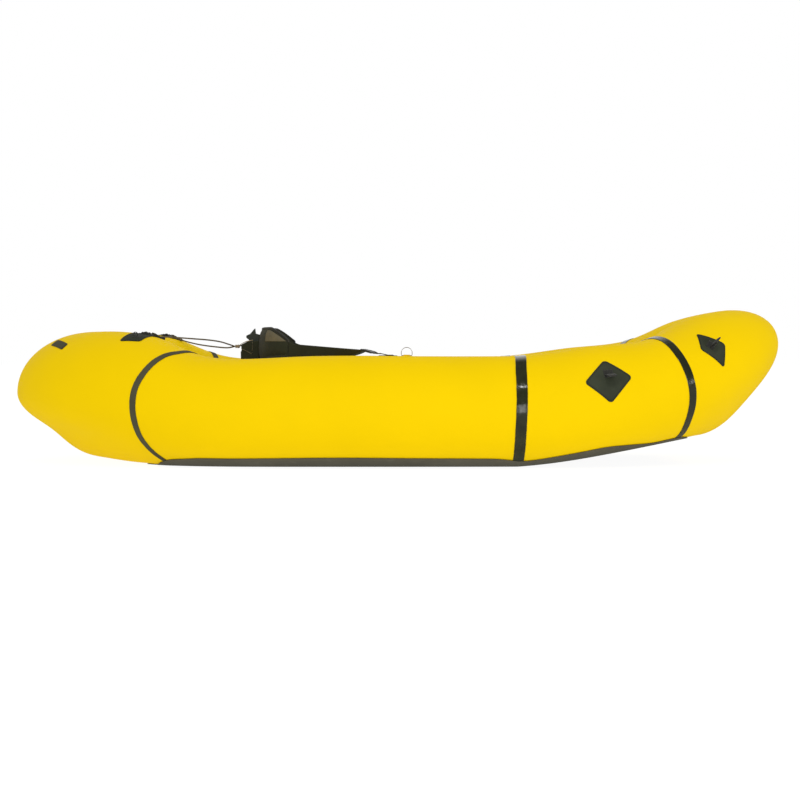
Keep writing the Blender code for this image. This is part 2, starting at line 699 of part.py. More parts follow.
def stern_fittings(label, side):
    """A ladder lock that holds the shock cord, and its strap, which ends in a small standing loop."""
    lock = seat_frame(STERN_FITTING_STATION, STERN_BUCKLE_TURN, 2 * PATCH_SEAT, -pi / 2)
    across, out = lock.to_3x3().col[1], lock.to_3x3().col[2]
    ladder_lock("stern_buckle_" + label, lock, BLACK_PLASTIC, side)
    end, spans = -BUCKLE_LENGTH / 2 - 2 * CLEAR, len(STERN_STRAP_LIFTS)
    path = [dropped(lock @ Vector((end - STERN_STRAP_LENGTH * (1 - step / spans), 0, 0)), out, lift)
            for step, lift in enumerate(STERN_STRAP_LIFTS)]
    path += [lock @ Vector((x, 0, BUCKLE_THICKNESS / 4)) for x in (end - WEBBING_THICKNESS, end)]
    strap = ribbon("stern_strap_" + label, path, [across] * len(path), STERN_STRAP_WIDTH, WEBBING_THICKNESS,
                   WEBBING, side)
    frame = lock.copy()
    frame.translation = dropped(lock @ Vector((-STERN_LOOP_REACH, 0, 0)), out, STERN_STRAP_LIFTS[0])
    rings = [[(radius * sin(step * tau / LOOP_STEPS),
               STERN_LOOP_DIAMETER / 2 - WEBBING_THICKNESS / 2 - radius * cos(step * tau / LOOP_STEPS))
              for step in range(LOOP_STEPS)]
             for radius in (STERN_LOOP_DIAMETER / 2, STERN_LOOP_DIAMETER / 2 - WEBBING_THICKNESS)]
    combine(strap, band("stern_loop_" + label, *rings, STERN_LOOP_WIDTH / 2, frame, WEBBING, side), "UNION")
    tube("stern_cord_" + label, smooth_path(STERN_CORD_ROUTES[label], CORD_POINTS), CORD_DIAMETER, CORD_SHEATH)


# Side straps of the backrest

def side_fittings(label, side):
    """A buckle over the tube's top, its strap down to a patch, and the strap back to the backrest's wing."""
    half_along, half_around = SIDE_ANCHOR_HALF_SIZES
    patch("side_anchor_" + label, SIDE_ANCHOR_STATION, SIDE_ANCHOR_TURN, half_along, half_around, 0,
          PATCH_FABRIC, side)
    turn = Matrix.Rotation(SIDE_BUCKLE_YAW, 4, "Z") @ Matrix.Rotation(SIDE_BUCKLE_PITCH, 4, "Y")
    frame = Matrix.Translation(lifted(SIDE_BUCKLE_STATION, SIDE_BUCKLE_TURN, SIDE_BUCKLE_LIFT)) @ turn
    ladder_lock("side_buckle_" + label, frame, BLACK_PLASTIC, side)
    reach, middle = BUCKLE_LENGTH / 2 + 2 * CLEAR, BUCKLE_THICKNESS / 4
    ahead, flat, _ = (frame.to_3x3() @ Vector(axis) for axis in ((1, 0, 0), (0, 1, 0), (0, 0, 1)))

    front = frame @ Vector((reach, 0, middle))
    lift = PATCH_SEAT + PATCH_THICKNESS + 2 * CLEAR + WEBBING_THICKNESS / 2
    along, around = hull_slopes(SIDE_ANCHOR_STATION, SIDE_ANCHOR_TURN)
    landing = seated(SIDE_ANCHOR_STATION, SIDE_ANCHOR_TURN, lift)
    end = seated(SIDE_ANCHOR_STATION + SIDE_STRAP_TAIL / along.length, SIDE_ANCHOR_TURN, lift)
    bulge = (front + landing) / 2 + Vector((0, 0, SIDE_STRAP_BULGE))
    path = [front, front + ahead * 2 * WEBBING_THICKNESS, bulge, landing, end]
    level = around.normalized() * copysign(1, around.dot(flat))
    ribbon("side_strap_" + label, path, [flat, flat, flat.lerp(level, 0.5), level, level], SIDE_STRAP_WIDTH,
           WEBBING_THICKNESS, WEBBING, side)

    rear = frame @ Vector((-reach, 0, middle))
    tip = pad_point(BACK_WING, WING_STRAP_START_SHARE, 0)
    wing = tip + (rear - tip).normalized() * (WEBBING_THICKNESS / 2)
    path = [wing.lerp(rear, step / WING_STRAP_STEPS) for step in range(WING_STRAP_STEPS)]
    path = [point - Vector((0, 0, WING_STRAP_SAG * sin(pi * step / WING_STRAP_STEPS)))
            for step, point in enumerate(path)]
    path += [rear - ahead * WEBBING_THICKNESS, rear]
    upright = Vector((0, 0, 1))
    across = [upright.lerp(flat, max(0, 2 * step / WING_STRAP_STEPS - 1)) for step in range(WING_STRAP_STEPS)]
    ribbon("wing_strap_" + label, path, across + [flat, flat], WING_STRAP_WIDTH, WEBBING_THICKNESS,
           WEBBING, side)


# Seat

def seat_top(a, b):
    """A point of the seat's top, where a and b run from -1 to 1 along it and across it."""
    middle, half_length = (SEAT_REAR + SEAT_FRONT) / 2, (SEAT_FRONT - SEAT_REAR) / 2
    edge = max(0, 1 - abs(a) ** 6) ** 0.5 * max(0, 1 - abs(b) ** 6) ** 0.5
    dip = sum(exp(-((b - share) * SEAT_HALF_WIDTH / SEAT_CHANNEL_WIDTH) ** 2) for share in SEAT_CHANNEL_SHARES)
    height = SEAT_HEIGHT - SEAT_CROWN * (a * a + b * b) / 2 - SEAT_CHANNEL_DEPTH * dip
    return Vector((middle + a * half_length * (1 - SEAT_DRAW_SHARE * b * b),
                   b * SEAT_HALF_WIDTH * (1 - SEAT_DRAW_SHARE * a * a),
                   FLOOR_SKIN + CLEAR + SEAT_RIM + (height - SEAT_RIM) * edge))


def seat_cushion():
    """A cushion with a flat underside, a crown, drawn-in sides and sewn channels that run fore and aft."""
    columns, rows = SEAT_CELLS
    middle = (SEAT_REAR + SEAT_FRONT) / 2
    points = [seat_top(2 * i / columns - 1, 2 * j / rows - 1) for i in range(columns + 1) for j in range(rows + 1)]
    faces = [(k, k + 1, k + rows + 2, k + rows + 1) for i in range(columns)
             for k in range(i * (rows + 1), i * (rows + 1) + rows)]
    rim = list(range(rows)) + [i * (rows + 1) + rows for i in range(columns)]
    rim += [len(points) - 1 - k for k in rim]
    foot = len(points)
    for k in rim:
        point = points[k]
        points.append(Vector((middle + (point.x - middle) * SEAT_FOOT_SHARE, point.y * SEAT_FOOT_SHARE,
                              FLOOR_SKIN + CLEAR)))
    for k in range(len(rim)):
        after = (k + 1) % len(rim)
        faces.append((rim[k], rim[after], foot + after, foot + k))
    faces.append(tuple(range(foot, foot + len(rim))))
    cushion = solid("seat_cushion", points, faces, SEAT_FABRIC)
    bore = SEAT_VALVE_RADIUS + CLEAR
    pocket, floor = SEAT_VALVE_FLANGE + 2 * CLEAR, -SEAT_VALVE_SINK - CLEAR
    depth = SEAT_VALVE_LENGTH + SEAT_VALVE_SINK
    well = turned("seat_well", [(0, -depth), (bore, -depth), (bore, floor), (pocket, floor), (pocket, OVERRUN),
                                (0, OVERRUN)], seat_valve_frame(), SEAT_FABRIC, steps=16)
    combine(cushion, well, "DIFFERENCE")


def seat_valve_frame():
    """A frame on the seat's top where its valve stands."""
    a, b = SEAT_VALVE_SHARES
    along = seat_top(a + NUDGE_SHARE, b) - seat_top(a - NUDGE_SHARE, b)
    across = seat_top(a, b + NUDGE_SHARE) - seat_top(a, b - NUDGE_SHARE)
    return axis_frame(seat_top(a, b), along.cross(across))


def seat_valve():
    """A small mouth valve: a flanged neck, and a plug that pulls out of it."""
    low, top = -SEAT_VALVE_SINK, SEAT_VALVE_LIP - SEAT_VALVE_SINK
    turned("seat_valve_body", [
        (SEAT_VALVE_BORE, -SEAT_VALVE_LENGTH), (SEAT_VALVE_RADIUS, -SEAT_VALVE_LENGTH), (SEAT_VALVE_RADIUS, low),
        (SEAT_VALVE_FLANGE, low), (SEAT_VALVE_FLANGE, low + SEAT_VALVE_LIP / 2), (SEAT_VALVE_RADIUS, top),
        (SEAT_VALVE_BORE, top)], seat_valve_frame(), BLACK_PLASTIC, steps=16)
    stem = SEAT_VALVE_BORE - CLEAR
    under = top + CLEAR
    turned("seat_valve_plug", [
        (0, -SEAT_VALVE_LENGTH / 2), (stem, -SEAT_VALVE_LENGTH / 2), (stem, under), (SEAT_PLUG_RADIUS, under),
        (SEAT_PLUG_RADIUS, under + SEAT_VALVE_LIP), (0, under + SEAT_VALVE_LIP)], seat_valve_frame(),
           BLACK_PLASTIC, steps=16)
    frame = seat_valve_frame()
    hang("seat_valve_axis", frame.translation, frame.to_3x3() @ Vector((0, 0, 1)), ["seat_valve_plug"])


# Backrest

def pad_half_thickness(a, v):
    """Half the pad's thickness: full in the middle, thin at the rims and wing tips, drawn in at the channels."""
    belly = max(0, 1 - abs(2 * v - 1) ** 4) ** 0.5 * (1 - BACK_WING_THIN_SHARE * abs(a / BACK_WING) ** 5)
    dip = sum(exp(-((v - share) / BACK_CHANNEL_SPREAD_SHARE) ** 2) for share in BACK_CHANNEL_SHARES)
    full = BACK_THICKNESS * (1 - BACK_CHANNEL_SHARE * dip)
    return (BACK_RIM + (full - BACK_RIM) * belly) / 2


def pad_point(a, v, lift):
    """A point of the pad at the angle a round its bend and the height share v, off its middle surface."""
    bend = abs(a) / BACK_WING
    fall = max(0, (abs(a) - BACK_TOP_BEND) / (BACK_WING - BACK_TOP_BEND))
    top = BACK_TOP - (BACK_TOP - BACK_WING_TOP) * fall ** 1.3
    low = HEM_Z + HEM_RADIUS + CLEAR + (BACK_WING_LOW - HEM_Z) * bend ** 2.5
    slope = hypot(BACK_HALF_WIDTH * cos(a), BACK_REACH * sin(a))
    outward = Vector((-BACK_HALF_WIDTH * cos(a), BACK_REACH * sin(a), 0)) / slope
    middle = Vector((BACK_X + BACK_REACH * (1 - cos(a)), BACK_HALF_WIDTH * sin(a), low + (top - low) * v))
    return middle + outward * lift


def pad_grid(layer, lift, across, upward):
    """Grid points of the pad's rear face where layer is 1, or its front face where it is -1."""
    columns, rows = BACK_CELLS
    grid = []
    for i in across:
        a = BACK_WING * (2 * i / columns - 1)
        grid.append([pad_point(a, j / rows, layer * (pad_half_thickness(a, j / rows) + lift)) for j in upward])
    return grid


def backrest_pad():
    columns, rows = BACK_CELLS
    across, upward = range(columns + 1), range(rows + 1)
    sheet("backrest_pad", pad_grid(1, 0, across, upward), pad_grid(-1, 0, across, upward), BACK_FABRIC,
          flip_from=columns // 2)


def side_panel(label, side):
    """The lighter fabric panel on the outer face of a wing."""
    across, upward = (range(first, last) for first, last in SIDE_PANEL_CELLS)
    outer = pad_grid(1, CLEAR + SIDE_PANEL_THICKNESS, across, upward)
    inner = pad_grid(1, CLEAR, across, upward)
    sheet("backrest_side_panel_" + label, outer, inner, PANEL_FABRIC, side, flip_from=0)


def backrest_binding():
    """Binding along the pad's top edge, from wing tip to wing tip."""
    columns = BACK_CELLS[0]
    edge = [pad_point(BACK_WING * (2 * i / columns - 1), 1, 0) for i in range(columns + 1)]
    path = []
    for i, point in enumerate(edge):
        ahead = (edge[min(i + 1, columns)] - edge[max(i - 1, 0)]).normalized()
        square = (Vector((0, 0, 1)) - ahead * ahead.z).normalized()
        path.append(point + square * (BINDING_RADIUS + BINDING_SEAT))
    tube("backrest_binding", path, 2 * BINDING_RADIUS, WEBBING)


def backrest_hem():
    """A rolled hem with a cord inside: the backrest turns on its ends."""
    frame = axis_frame(Vector((HEM_X, 0, HEM_Z)), (0, 1, 0))
    turned("backrest_hem", [(0, -HEM_HALF_LENGTH), (HEM_RADIUS, -HEM_HALF_LENGTH),
                            (HEM_RADIUS, HEM_HALF_LENGTH), (0, HEM_HALF_LENGTH)], frame, WEBBING)


def backrest_anchor(label, side):
    """A webbing cup round the end of the hem, with a tab that runs out to the tube."""
    rim = HEM_HALF_LENGTH + CLEAR
    frame = axis_frame(Vector((HEM_X, 0, HEM_Z)), (0, 1, 0))
    bore = HEM_RADIUS + CLEAR
    start, end = rim - ANCHOR_CUP_LENGTH, rim + WEBBING_THICKNESS
    cup = turned("backrest_anchor_" + label, [(bore, start), (ANCHOR_CUP_RADIUS, start), (ANCHOR_CUP_RADIUS, end),
                                               (0, end), (0, rim), (bore, rim)], frame, WEBBING, side)
    near = end - WEBBING_THICKNESS / 2
    height, half = WEBBING_THICKNESS, ANCHOR_WIDTH / 2
    reach = min(FACETS.ray_cast(Vector((HEM_X + x, near, HEM_Z + z)), Vector((0, 1, 0)))[0].y
                for x in (-half, half) for z in (-height / 2, height / 2)) - CLEAR
    flat = Matrix.Translation(Vector((HEM_X, (near + reach) / 2, HEM_Z - height / 2)))
    tab = prism("anchor_tab_" + label, [(-half, 0), (half, 0), (half, height), (-half, height)],
                (reach - near) / 2, flat, WEBBING, side)
    combine(cup, tab, "UNION")


def pad_rear(height):
    """The x of the pad's rear face on the raft's middle plane, at a height above the ground."""
    low = pad_point(0, 0, 0).z
    v = (height - low) / (BACK_TOP - low)
    return pad_point(0, v, pad_half_thickness(0, v)).x


def backrest_sleeve():
    """A soft sleeve behind the pad that the harness is threaded through."""
    face = min(pad_rear(SLEEVE_LOW), pad_rear((SLEEVE_LOW + SLEEVE_TOP) / 2), pad_rear(SLEEVE_TOP)) - 2 * CLEAR
    outline = [(SLEEVE_REAR, SLEEVE_LOW + SLEEVE_SLANT), (SLEEVE_REAR, SLEEVE_TOP - SLEEVE_CORNER),
               (SLEEVE_REAR + SLEEVE_CORNER, SLEEVE_TOP), (face, SLEEVE_TOP), (face, SLEEVE_LOW)]
    prism("backrest_sleeve", outline, SLEEVE_HALF_WIDTH, Matrix(), BACK_FABRIC)


def backrest_adjuster():
    """A plastic adjuster with an upright horn, behind the pad's top."""
    outline = [(BACK_X - ADJUSTER_STANDOFF - depth * ADJUSTER_DEPTH, ADJUSTER_LOW + height * ADJUSTER_HEIGHT)
               for depth, height in ADJUSTER_SHARES]
    seat = [ADJUSTER_LOW + ADJUSTER_HEIGHT * ADJUSTER_SEAT_SHARE * (1 - step / 3) for step in range(4)]
    outline += [(pad_rear(height) - 2 * CLEAR, height) for height in seat]
    prism("backrest_adjuster", outline, ADJUSTER_THICKNESS / 2, Matrix(), GREEN_PLASTIC)


def backrest_harness():
    half = HOOK_LENGTH / 2
    hook = turned("backrest_hook", [(0, -half), (HOOK_RADIUS - HOOK_CHAMFER, -half),
                                    (HOOK_RADIUS, HOOK_CHAMFER - half), (HOOK_RADIUS, half - 2 * HOOK_CHAMFER),
                                    (HOOK_RADIUS - 2 * HOOK_CHAMFER, half), (0, half)],
                  axis_frame(HOOK_PLACE, (1, 0, 0)), TAN_PLASTIC, steps=12)
    path = smooth_path([HOOK_PLACE, *BRIDLE_ROUTE], 8)
    bridle = tube("backrest_bridle", path, BRIDLE_DIAMETER, CORD_SHEATH)
    mesh = bpy.data.meshes.new_from_object(bridle.evaluated_get(bpy.context.evaluated_depsgraph_get()))
    bpy.data.objects.remove(bridle)
    combine(hook, placed("backrest_bridle", mesh, CORD_SHEATH), "UNION")


# Main valve and leash hoop

def valve_frame():
    return surface_frame(VALVE_STATION, VALVE_TURN)


def valve_flange():
    """A round flange that follows the tube, with a hole for the valve's neck."""
    bore = VALVE_BODY_RADIUS + CLEAR
    flange = turned("valve_flange", [(bore, -PROBE_REACH), (VALVE_FLANGE_RADIUS, -PROBE_REACH),
                                     (VALVE_FLANGE_RADIUS, PROBE_REACH), (bore, PROBE_REACH)],
                    valve_frame(), BLACK_PLASTIC)
    combine(flange, cloth("valve_flange_cloth", VALVE_STATION, VALVE_TURN, VALVE_FLANGE_RADIUS, 1), "INTERSECT")


def valve_body():
    """The valve's neck and well, with a seat for the sealing disc and arms that guide the stem."""
    top, floor = VALVE_NECK, -VALVE_DEPTH
    seat_top = floor + VALVE_SEAT_THICKNESS
    body = turned("valve_body", [
        (VALVE_SEAT_BORE, floor), (VALVE_BODY_RADIUS, floor), (VALVE_BODY_RADIUS, top - VALVE_COLLAR),
        (VALVE_COLLAR_RADIUS, top - VALVE_COLLAR), (VALVE_COLLAR_RADIUS, top), (VALVE_BORE, top),
        (VALVE_BORE, seat_top), (VALVE_SEAT_BORE, seat_top)], valve_frame(), BLACK_PLASTIC)
    hub = VALVE_STEM_RADIUS + 2 * CLEAR
    rim = VALVE_STEM_RADIUS + 2 * CLEAR + WEBBING_THICKNESS
    guide = turned("valve_guide", [(hub, floor + CLEAR), (rim, floor + CLEAR), (rim, seat_top - CLEAR),
                                   (hub, seat_top - CLEAR)], valve_frame(), BLACK_PLASTIC)
    combine(body, guide, "UNION")
    for arm in range(VALVE_SPIDER_ARMS):
        turn = Matrix.Rotation(arm * tau / VALVE_SPIDER_ARMS, 4, "Z")
        near, far = (hub + rim) / 2, VALVE_SEAT_BORE + OVERRUN / 4
        low, high = floor + 2 * CLEAR, seat_top - 2 * CLEAR
        spoke = prism("valve_arm_%d" % arm, [(near, low), (far, low), (far, high), (near, high)],
                      VALVE_ARM_WIDTH / 2, valve_frame() @ turn, BLACK_PLASTIC)
        combine(body, spoke, "UNION")


def valve_inside():
    """The sprung plunger with its sealing disc under the seat, and the spring over the seat."""
    floor = -VALVE_DEPTH
    seat_top = floor + VALVE_SEAT_THICKNESS
    disc_top = floor - CLEAR
    button_low = VALVE_NECK - VALVE_BUTTON - VALVE_TRAVEL / 2
    turned("valve_plunger", [
        (0, disc_top - VALVE_DISC), (VALVE_DISC_RADIUS, disc_top - VALVE_DISC), (VALVE_DISC_RADIUS, disc_top),
        (VALVE_STEM_RADIUS, disc_top), (VALVE_STEM_RADIUS, button_low), (VALVE_BUTTON_RADIUS, button_low),
        (VALVE_BUTTON_RADIUS, button_low + VALVE_BUTTON), (0, button_low + VALVE_BUTTON)],
           valve_frame(), BLACK_PLASTIC)
    low = seat_top + VALVE_SPRING_WIRE / 2 + CLEAR
    high = button_low - VALVE_SPRING_WIRE / 2 - CLEAR
    steps = VALVE_SPRING_TURNS * VALVE_SPRING_STEPS
    path = []
    for step in range(steps + 1):
        angle = step * tau / VALVE_SPRING_STEPS
        place = Vector((VALVE_SPRING_RADIUS * cos(angle), VALVE_SPRING_RADIUS * sin(angle),
                        low + (high - low) * step / steps))
        path.append(valve_frame() @ place)
    tube("valve_spring", path, VALVE_SPRING_WIRE, STEEL, resolution=1)
    print("least gap of the spring to itself:", round((high - low) / VALVE_SPRING_TURNS - VALVE_SPRING_WIRE, 5))
    frame = valve_frame()
    hang("valve_plunger_axis", frame.translation, frame.to_3x3() @ Vector((0, 0, 1)), ["valve_plunger"])


def valve_gasket():
    low = VALVE_NECK + CLEAR
    turned("valve_gasket", [(VALVE_BORE, low), (VALVE_COLLAR_RADIUS - 2 * CLEAR, low),
                            (VALVE_COLLAR_RADIUS - 2 * CLEAR, low + GASKET_THICKNESS),
                            (VALVE_BORE, low + GASKET_THICKNESS)], valve_frame(), RUBBER)


def valve_cap():
    """A cap that drops over the collar, with grip ribs round its edge."""
    under = VALVE_NECK + CLEAR + GASKET_THICKNESS + CLEAR
    top = under + CAP_WALL
    skirt = top - CAP_HEIGHT
    inside = VALVE_COLLAR_RADIUS + CLEAR
    cap = turned("valve_cap", [(0, under), (inside, under), (inside, skirt), (inside + CAP_WALL, skirt),
                               (inside + CAP_WALL, top), (0, top)], valve_frame(), BLACK_PLASTIC)
    middle = (skirt + top) / 2
    for rib in range(CAP_RIBS):
        angle = rib * tau / CAP_RIBS
        reach = inside + CAP_WALL + CAP_RIB_RADIUS / 2
        place = valve_frame() @ Matrix.Translation((reach * cos(angle), reach * sin(angle), middle))
        place = place @ Matrix.Rotation(pi / CAP_RIB_STEPS, 4, "Z")
        half = (top - skirt) / 2 - CLEAR
        groove = turned("cap_groove_%d" % rib, [(0, -half - OVERRUN), (CAP_RIB_RADIUS, -half - OVERRUN),
                                                (CAP_RIB_RADIUS, half + OVERRUN), (0, half + OVERRUN)],
                        place, BLACK_PLASTIC, steps=CAP_RIB_STEPS)
        combine(cap, groove, "DIFFERENCE")
    frame = valve_frame()
    hang("valve_cap_axis", frame.translation, frame.to_3x3() @ Vector((0, 0, 1)), ["valve_cap"])


def valve_hole(panel):
    """Cuts the hole for the valve's neck through the port side panel."""
    radius = VALVE_BODY_RADIUS + CLEAR
    tool = turned("valve_hole", [(0, -OVERRUN), (radius, -OVERRUN), (radius, OVERRUN), (0, OVERRUN)],
                  valve_frame(), YELLOW)
    combine(panel, tool, "DIFFERENCE")


def leash_hoop():
    """A thin hoop whose straight foot turns in a sleeve on its own patch."""
    half_along, half_around = HOOP_PATCH_HALF_SIZES
    base = patch("leash_patch", HOOP_STATION, HOOP_TURN, half_along, half_around, 0, PATCH_FABRIC, 1)
    bore = HOOP_WIRE / 2 + CLEAR
    rim = bore + HOOP_TUBE_WALL
    frame = seat_frame(HOOP_STATION, HOOP_TURN, PATCH_SEAT + PATCH_THICKNESS / 2 + rim)
    half = HOOP_TUBE_LENGTH / 2
    pipe = turned("leash_sleeve", [(bore, -half), (rim, -half), (rim, half), (bore, half)],
                  frame @ Matrix.Rotation(pi / 2, 4, "Y"), WEBBING, steps=12)
    combine(base, pipe, "UNION")
    radius = HOOP_WIDTH / 2
    foot = radius - HOOP_CORNER
    straight = HOOP_HEIGHT - radius
    path = [Vector((-foot, 0, 0)), Vector((foot, 0, 0)), Vector((radius, 0, HOOP_CORNER))]
    for step in range(HOOP_ARC_STEPS + 1):
        angle = step * pi / HOOP_ARC_STEPS
        path.append(Vector((radius * cos(angle), 0, straight + radius * sin(angle))))
    path.append(Vector((-radius, 0, HOOP_CORNER)))
    lean = Matrix.Rotation(HOOP_TURN - pi / 2, 4, "X")
    tube("leash_hoop", [frame @ (lean @ place) for place in path], HOOP_WIRE, HOOP_FINISH, closed=True)
    hang("leash_hoop_axis", frame.translation, frame.to_3x3() @ Vector((1, 0, 0)), ["leash_hoop"])


# Putting the raft together

def build_hull():
    hull_panel("hull_stern", STERN_ROWS, flip_from=len(STERN_ROWS) // 2)
    hull_panel("hull_bow", BOW_ROWS, flip_from=len(BOW_ROWS) // 2)
    for label, side in (("left", 1), ("right", -1)):
        panel = hull_panel("hull_side_" + label, SIDE_ROWS, side)
        if side == 1:
            valve_hole(panel)
        hull_panel("hull_front_" + label, FRONT_ROWS, side)
        seam_tape("seam_tape_stern_" + label, STERN_SEAM, STERN_TAPE_WIDTH, MATT_TAPE, side)
        seam_tape("seam_tape_mid_" + label, MID_SEAM, MID_TAPE_WIDTH, GLOSS_TAPE, side)
        seam_tape("seam_tape_bow_" + label, BOW_SEAM, BOW_TAPE_WIDTH, GLOSS_TAPE, side)
    floor_sheet()


def build_fittings():
    for label, side in (("left", 1), ("right", -1)):
        for name, (station, turn, half_along, half_around, tilt) in PATCHES.items():
            material = MATT_TAPE if name == "rear_patch" else PATCH_FABRIC
            patch(name + "_" + label, station, radians(turn), half_along, half_around, radians(tilt),
                  material, side)
        for name in LOOPS:
            webbing_loop(name, label, side)
        stern_fittings(label, side)
        side_fittings(label, side)


def build_seat():
    seat_cushion()
    seat_valve()


def build_backrest():
    backrest_pad()
    backrest_binding()
    backrest_hem()
    backrest_sleeve()
    backrest_adjuster()
    backrest_harness()
    for label, side in (("left", 1), ("right", -1)):
        side_panel(label, side)
        backrest_anchor(label, side)
    hang("backrest_axis", (HEM_X, 0, HEM_Z), (0, 1, 0), [
        "backrest_pad", "backrest_binding", "backrest_hem", "backrest_sleeve", "backrest_adjuster",
        "backrest_hook", "backrest_side_panel_left", "backrest_side_panel_right"])


def build_valve():
    valve_flange()
    valve_body()
    valve_inside()
    valve_gasket()
    valve_cap()


build_hull()
FACETS = port_facets()
build_fittings()
build_seat()
build_backrest()
build_valve()
leash_hoop()
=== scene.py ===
"""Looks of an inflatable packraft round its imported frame: bow along +X, port along +Y, up along +Z, in metres."""
import json
from math import copysign, cos, exp, hypot, pi, radians, sin, tau

import bmesh
import bpy
import numpy as np
from bpy.props import FloatProperty, FloatVectorProperty, PointerProperty
from mathutils import Matrix, Vector
from mathutils.bvhtree import BVHTree


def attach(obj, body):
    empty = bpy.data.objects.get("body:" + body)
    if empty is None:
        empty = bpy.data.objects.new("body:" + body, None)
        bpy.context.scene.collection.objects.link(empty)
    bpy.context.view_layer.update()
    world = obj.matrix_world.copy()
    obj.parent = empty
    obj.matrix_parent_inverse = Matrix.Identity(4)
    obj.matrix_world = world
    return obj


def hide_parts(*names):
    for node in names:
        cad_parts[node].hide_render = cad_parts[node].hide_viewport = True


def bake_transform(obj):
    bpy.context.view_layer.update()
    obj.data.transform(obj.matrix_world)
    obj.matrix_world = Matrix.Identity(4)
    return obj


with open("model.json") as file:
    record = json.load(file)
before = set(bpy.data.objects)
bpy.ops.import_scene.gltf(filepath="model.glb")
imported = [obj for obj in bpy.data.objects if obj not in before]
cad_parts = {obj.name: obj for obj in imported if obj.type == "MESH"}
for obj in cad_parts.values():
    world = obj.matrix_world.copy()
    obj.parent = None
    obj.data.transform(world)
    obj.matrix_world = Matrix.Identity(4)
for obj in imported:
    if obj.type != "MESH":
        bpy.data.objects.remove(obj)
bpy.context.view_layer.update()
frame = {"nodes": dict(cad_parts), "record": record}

bl_info = {
    "name": "Packraft",
    "version": (1, 0, 0),
    "blender": (4, 5, 0),
    "location": "3D View > Sidebar > Packraft",
    "description": "Builds the fabric, tapes, webbing and fittings of an inflatable packraft",
    "category": "Add Mesh",
}

# Overall sizes of the raft, as in its source
LENGTH = 2.236
WIDTH = 0.940
TUBE_DIAMETER = 0.297
TUBE_RADIUS = TUBE_DIAMETER / 2
SKIN = 0.0010
FLOOR_SKIN = 0.0015
CLEAR = 0.0003
FLOOR_SEAT = 0.0011
SIDES = (("left", 1), ("right", -1))

# The hull's sections: outline x and y as shares of half the length and width, facing in degrees, then as shares
# of the tube's radius the half width, crown, keel and rise, then the cut, lift and rake of the section
STATION_SHARES = (
    (-0.998, 0.000, 180, 1.65, 1.27, 1.18, 0.07, 0.17, 0.05, 0.00),
    (-0.925, 0.430, 158, 1.50, 1.27, 1.18, 0.07, 0.16, 0.05, 0.00),
    (-0.745, 0.775, 134, 1.25, 1.19, 1.20, 0.02, 0.10, 0.02, -0.06),
    (-0.504, 0.965, 106, 1.05, 0.98, 1.04, 0.00, 0.00, 0.00, 0.00),
    (-0.244, 1.000, 92, 1.00, 1.01, 1.02, 0.00, 0.00, 0.00, 0.00),
    (0.024, 1.000, 90, 1.00, 1.02, 1.02, 0.00, 0.00, 0.00, 0.00),
    (0.283, 0.990, 89, 1.01, 1.02, 1.02, 0.00, 0.00, 0.00, 0.00),
    (0.516, 0.928, 79, 1.01, 1.01, 1.00, 0.21, 0.00, 0.00, 0.12),
    (0.731, 0.745, 60, 1.02, 0.92, 1.00, 0.45, 0.02, 0.04, 0.30),
    (0.921, 0.400, 25, 1.28, 1.02, 1.26, 0.50, 0.08, 0.18, 0.15),
    (0.998, 0.000, 0, 1.50, 1.01, 1.34, 0.51, 0.12, 0.30, 0.00),
)
BOW_STATION = len(STATION_SHARES) - 1
RISE_SLACK_SHARE = 0.006
NUDGE_SHARE = 0.001
PROBE_REACH = 0.020
HULL_COLUMNS = 144
HULL_ROW = 0.0085

# Welded tapes and the floor
TAPE_LIFT = 0.0010
TAPE_COLUMN = 0.0016
TAPE_SLANT = 3.0
TAPE_ROUNDING = 0.0004
TAPE_WAVER = 0.00016
TAPE_ROWS = {"gloss_tape": 44, "matte_tape": 20}
TAPES = {"stern": (0.019, "matte_tape"), "mid": (0.031, "gloss_tape"), "bow": (0.025, "gloss_tape")}
# The station of each seam at turns in degrees round the tube
SEAM_LINES = {
    "stern": ((-90, 2.57), (-67, 2.565), (-50, 2.50), (-34, 2.46), (-15, 2.455), (2, 2.447), (16, 2.449),
              (31, 2.48), (50, 2.53), (65, 2.585), (78, 2.67), (95, 2.69), (140, 2.57), (200, 2.50), (240, 2.55)),
    "mid": ((-90, 6.047), (-50, 6.047), (-18, 6.050), (12, 6.0615), (48, 6.067), (80, 6.090), (120, 6.080),
            (180, 6.050), (240, 6.047)),
    "bow": ((-90, 7.890), (-66, 7.892), (-40, 7.894), (-21, 7.925), (-5, 7.948), (19, 7.966), (43, 7.985),
            (68, 8.033), (91, 8.070), (130, 8.030), (180, 7.950), (240, 7.900)),
}
SEAM_SOFTNESS = radians(6)
TAPE_SPAN = (radians(-72), radians(252))
FLOOR_FIRST = 2.05
FLOOR_LAST = 8.30
# How far the floor wraps up the tube's outside, in degrees, by station
FLOOR_WRAPS = ((2.05, -4), (2.25, -2), (2.387, 12), (2.627, 26), (3.03, 34), (4.48, 35), (5.86, 33),
               (6.10, 26), (6.49, 31), (6.97, 35), (7.28, 29), (7.53, 21), (7.82, 22), (8.0, 20), (8.2, 8), (8.3, 1))
FLOOR_ROWS = 260
FLOOR_WRAP_COLUMNS = 12
FLOOR_SPAN_COLUMNS = 40
FLOOR_WAVE = 0.0016
FLOOR_FADE = 1.2
FLOOR_CALM = 0.03
FLOOR_CALM_REACH = 0.05

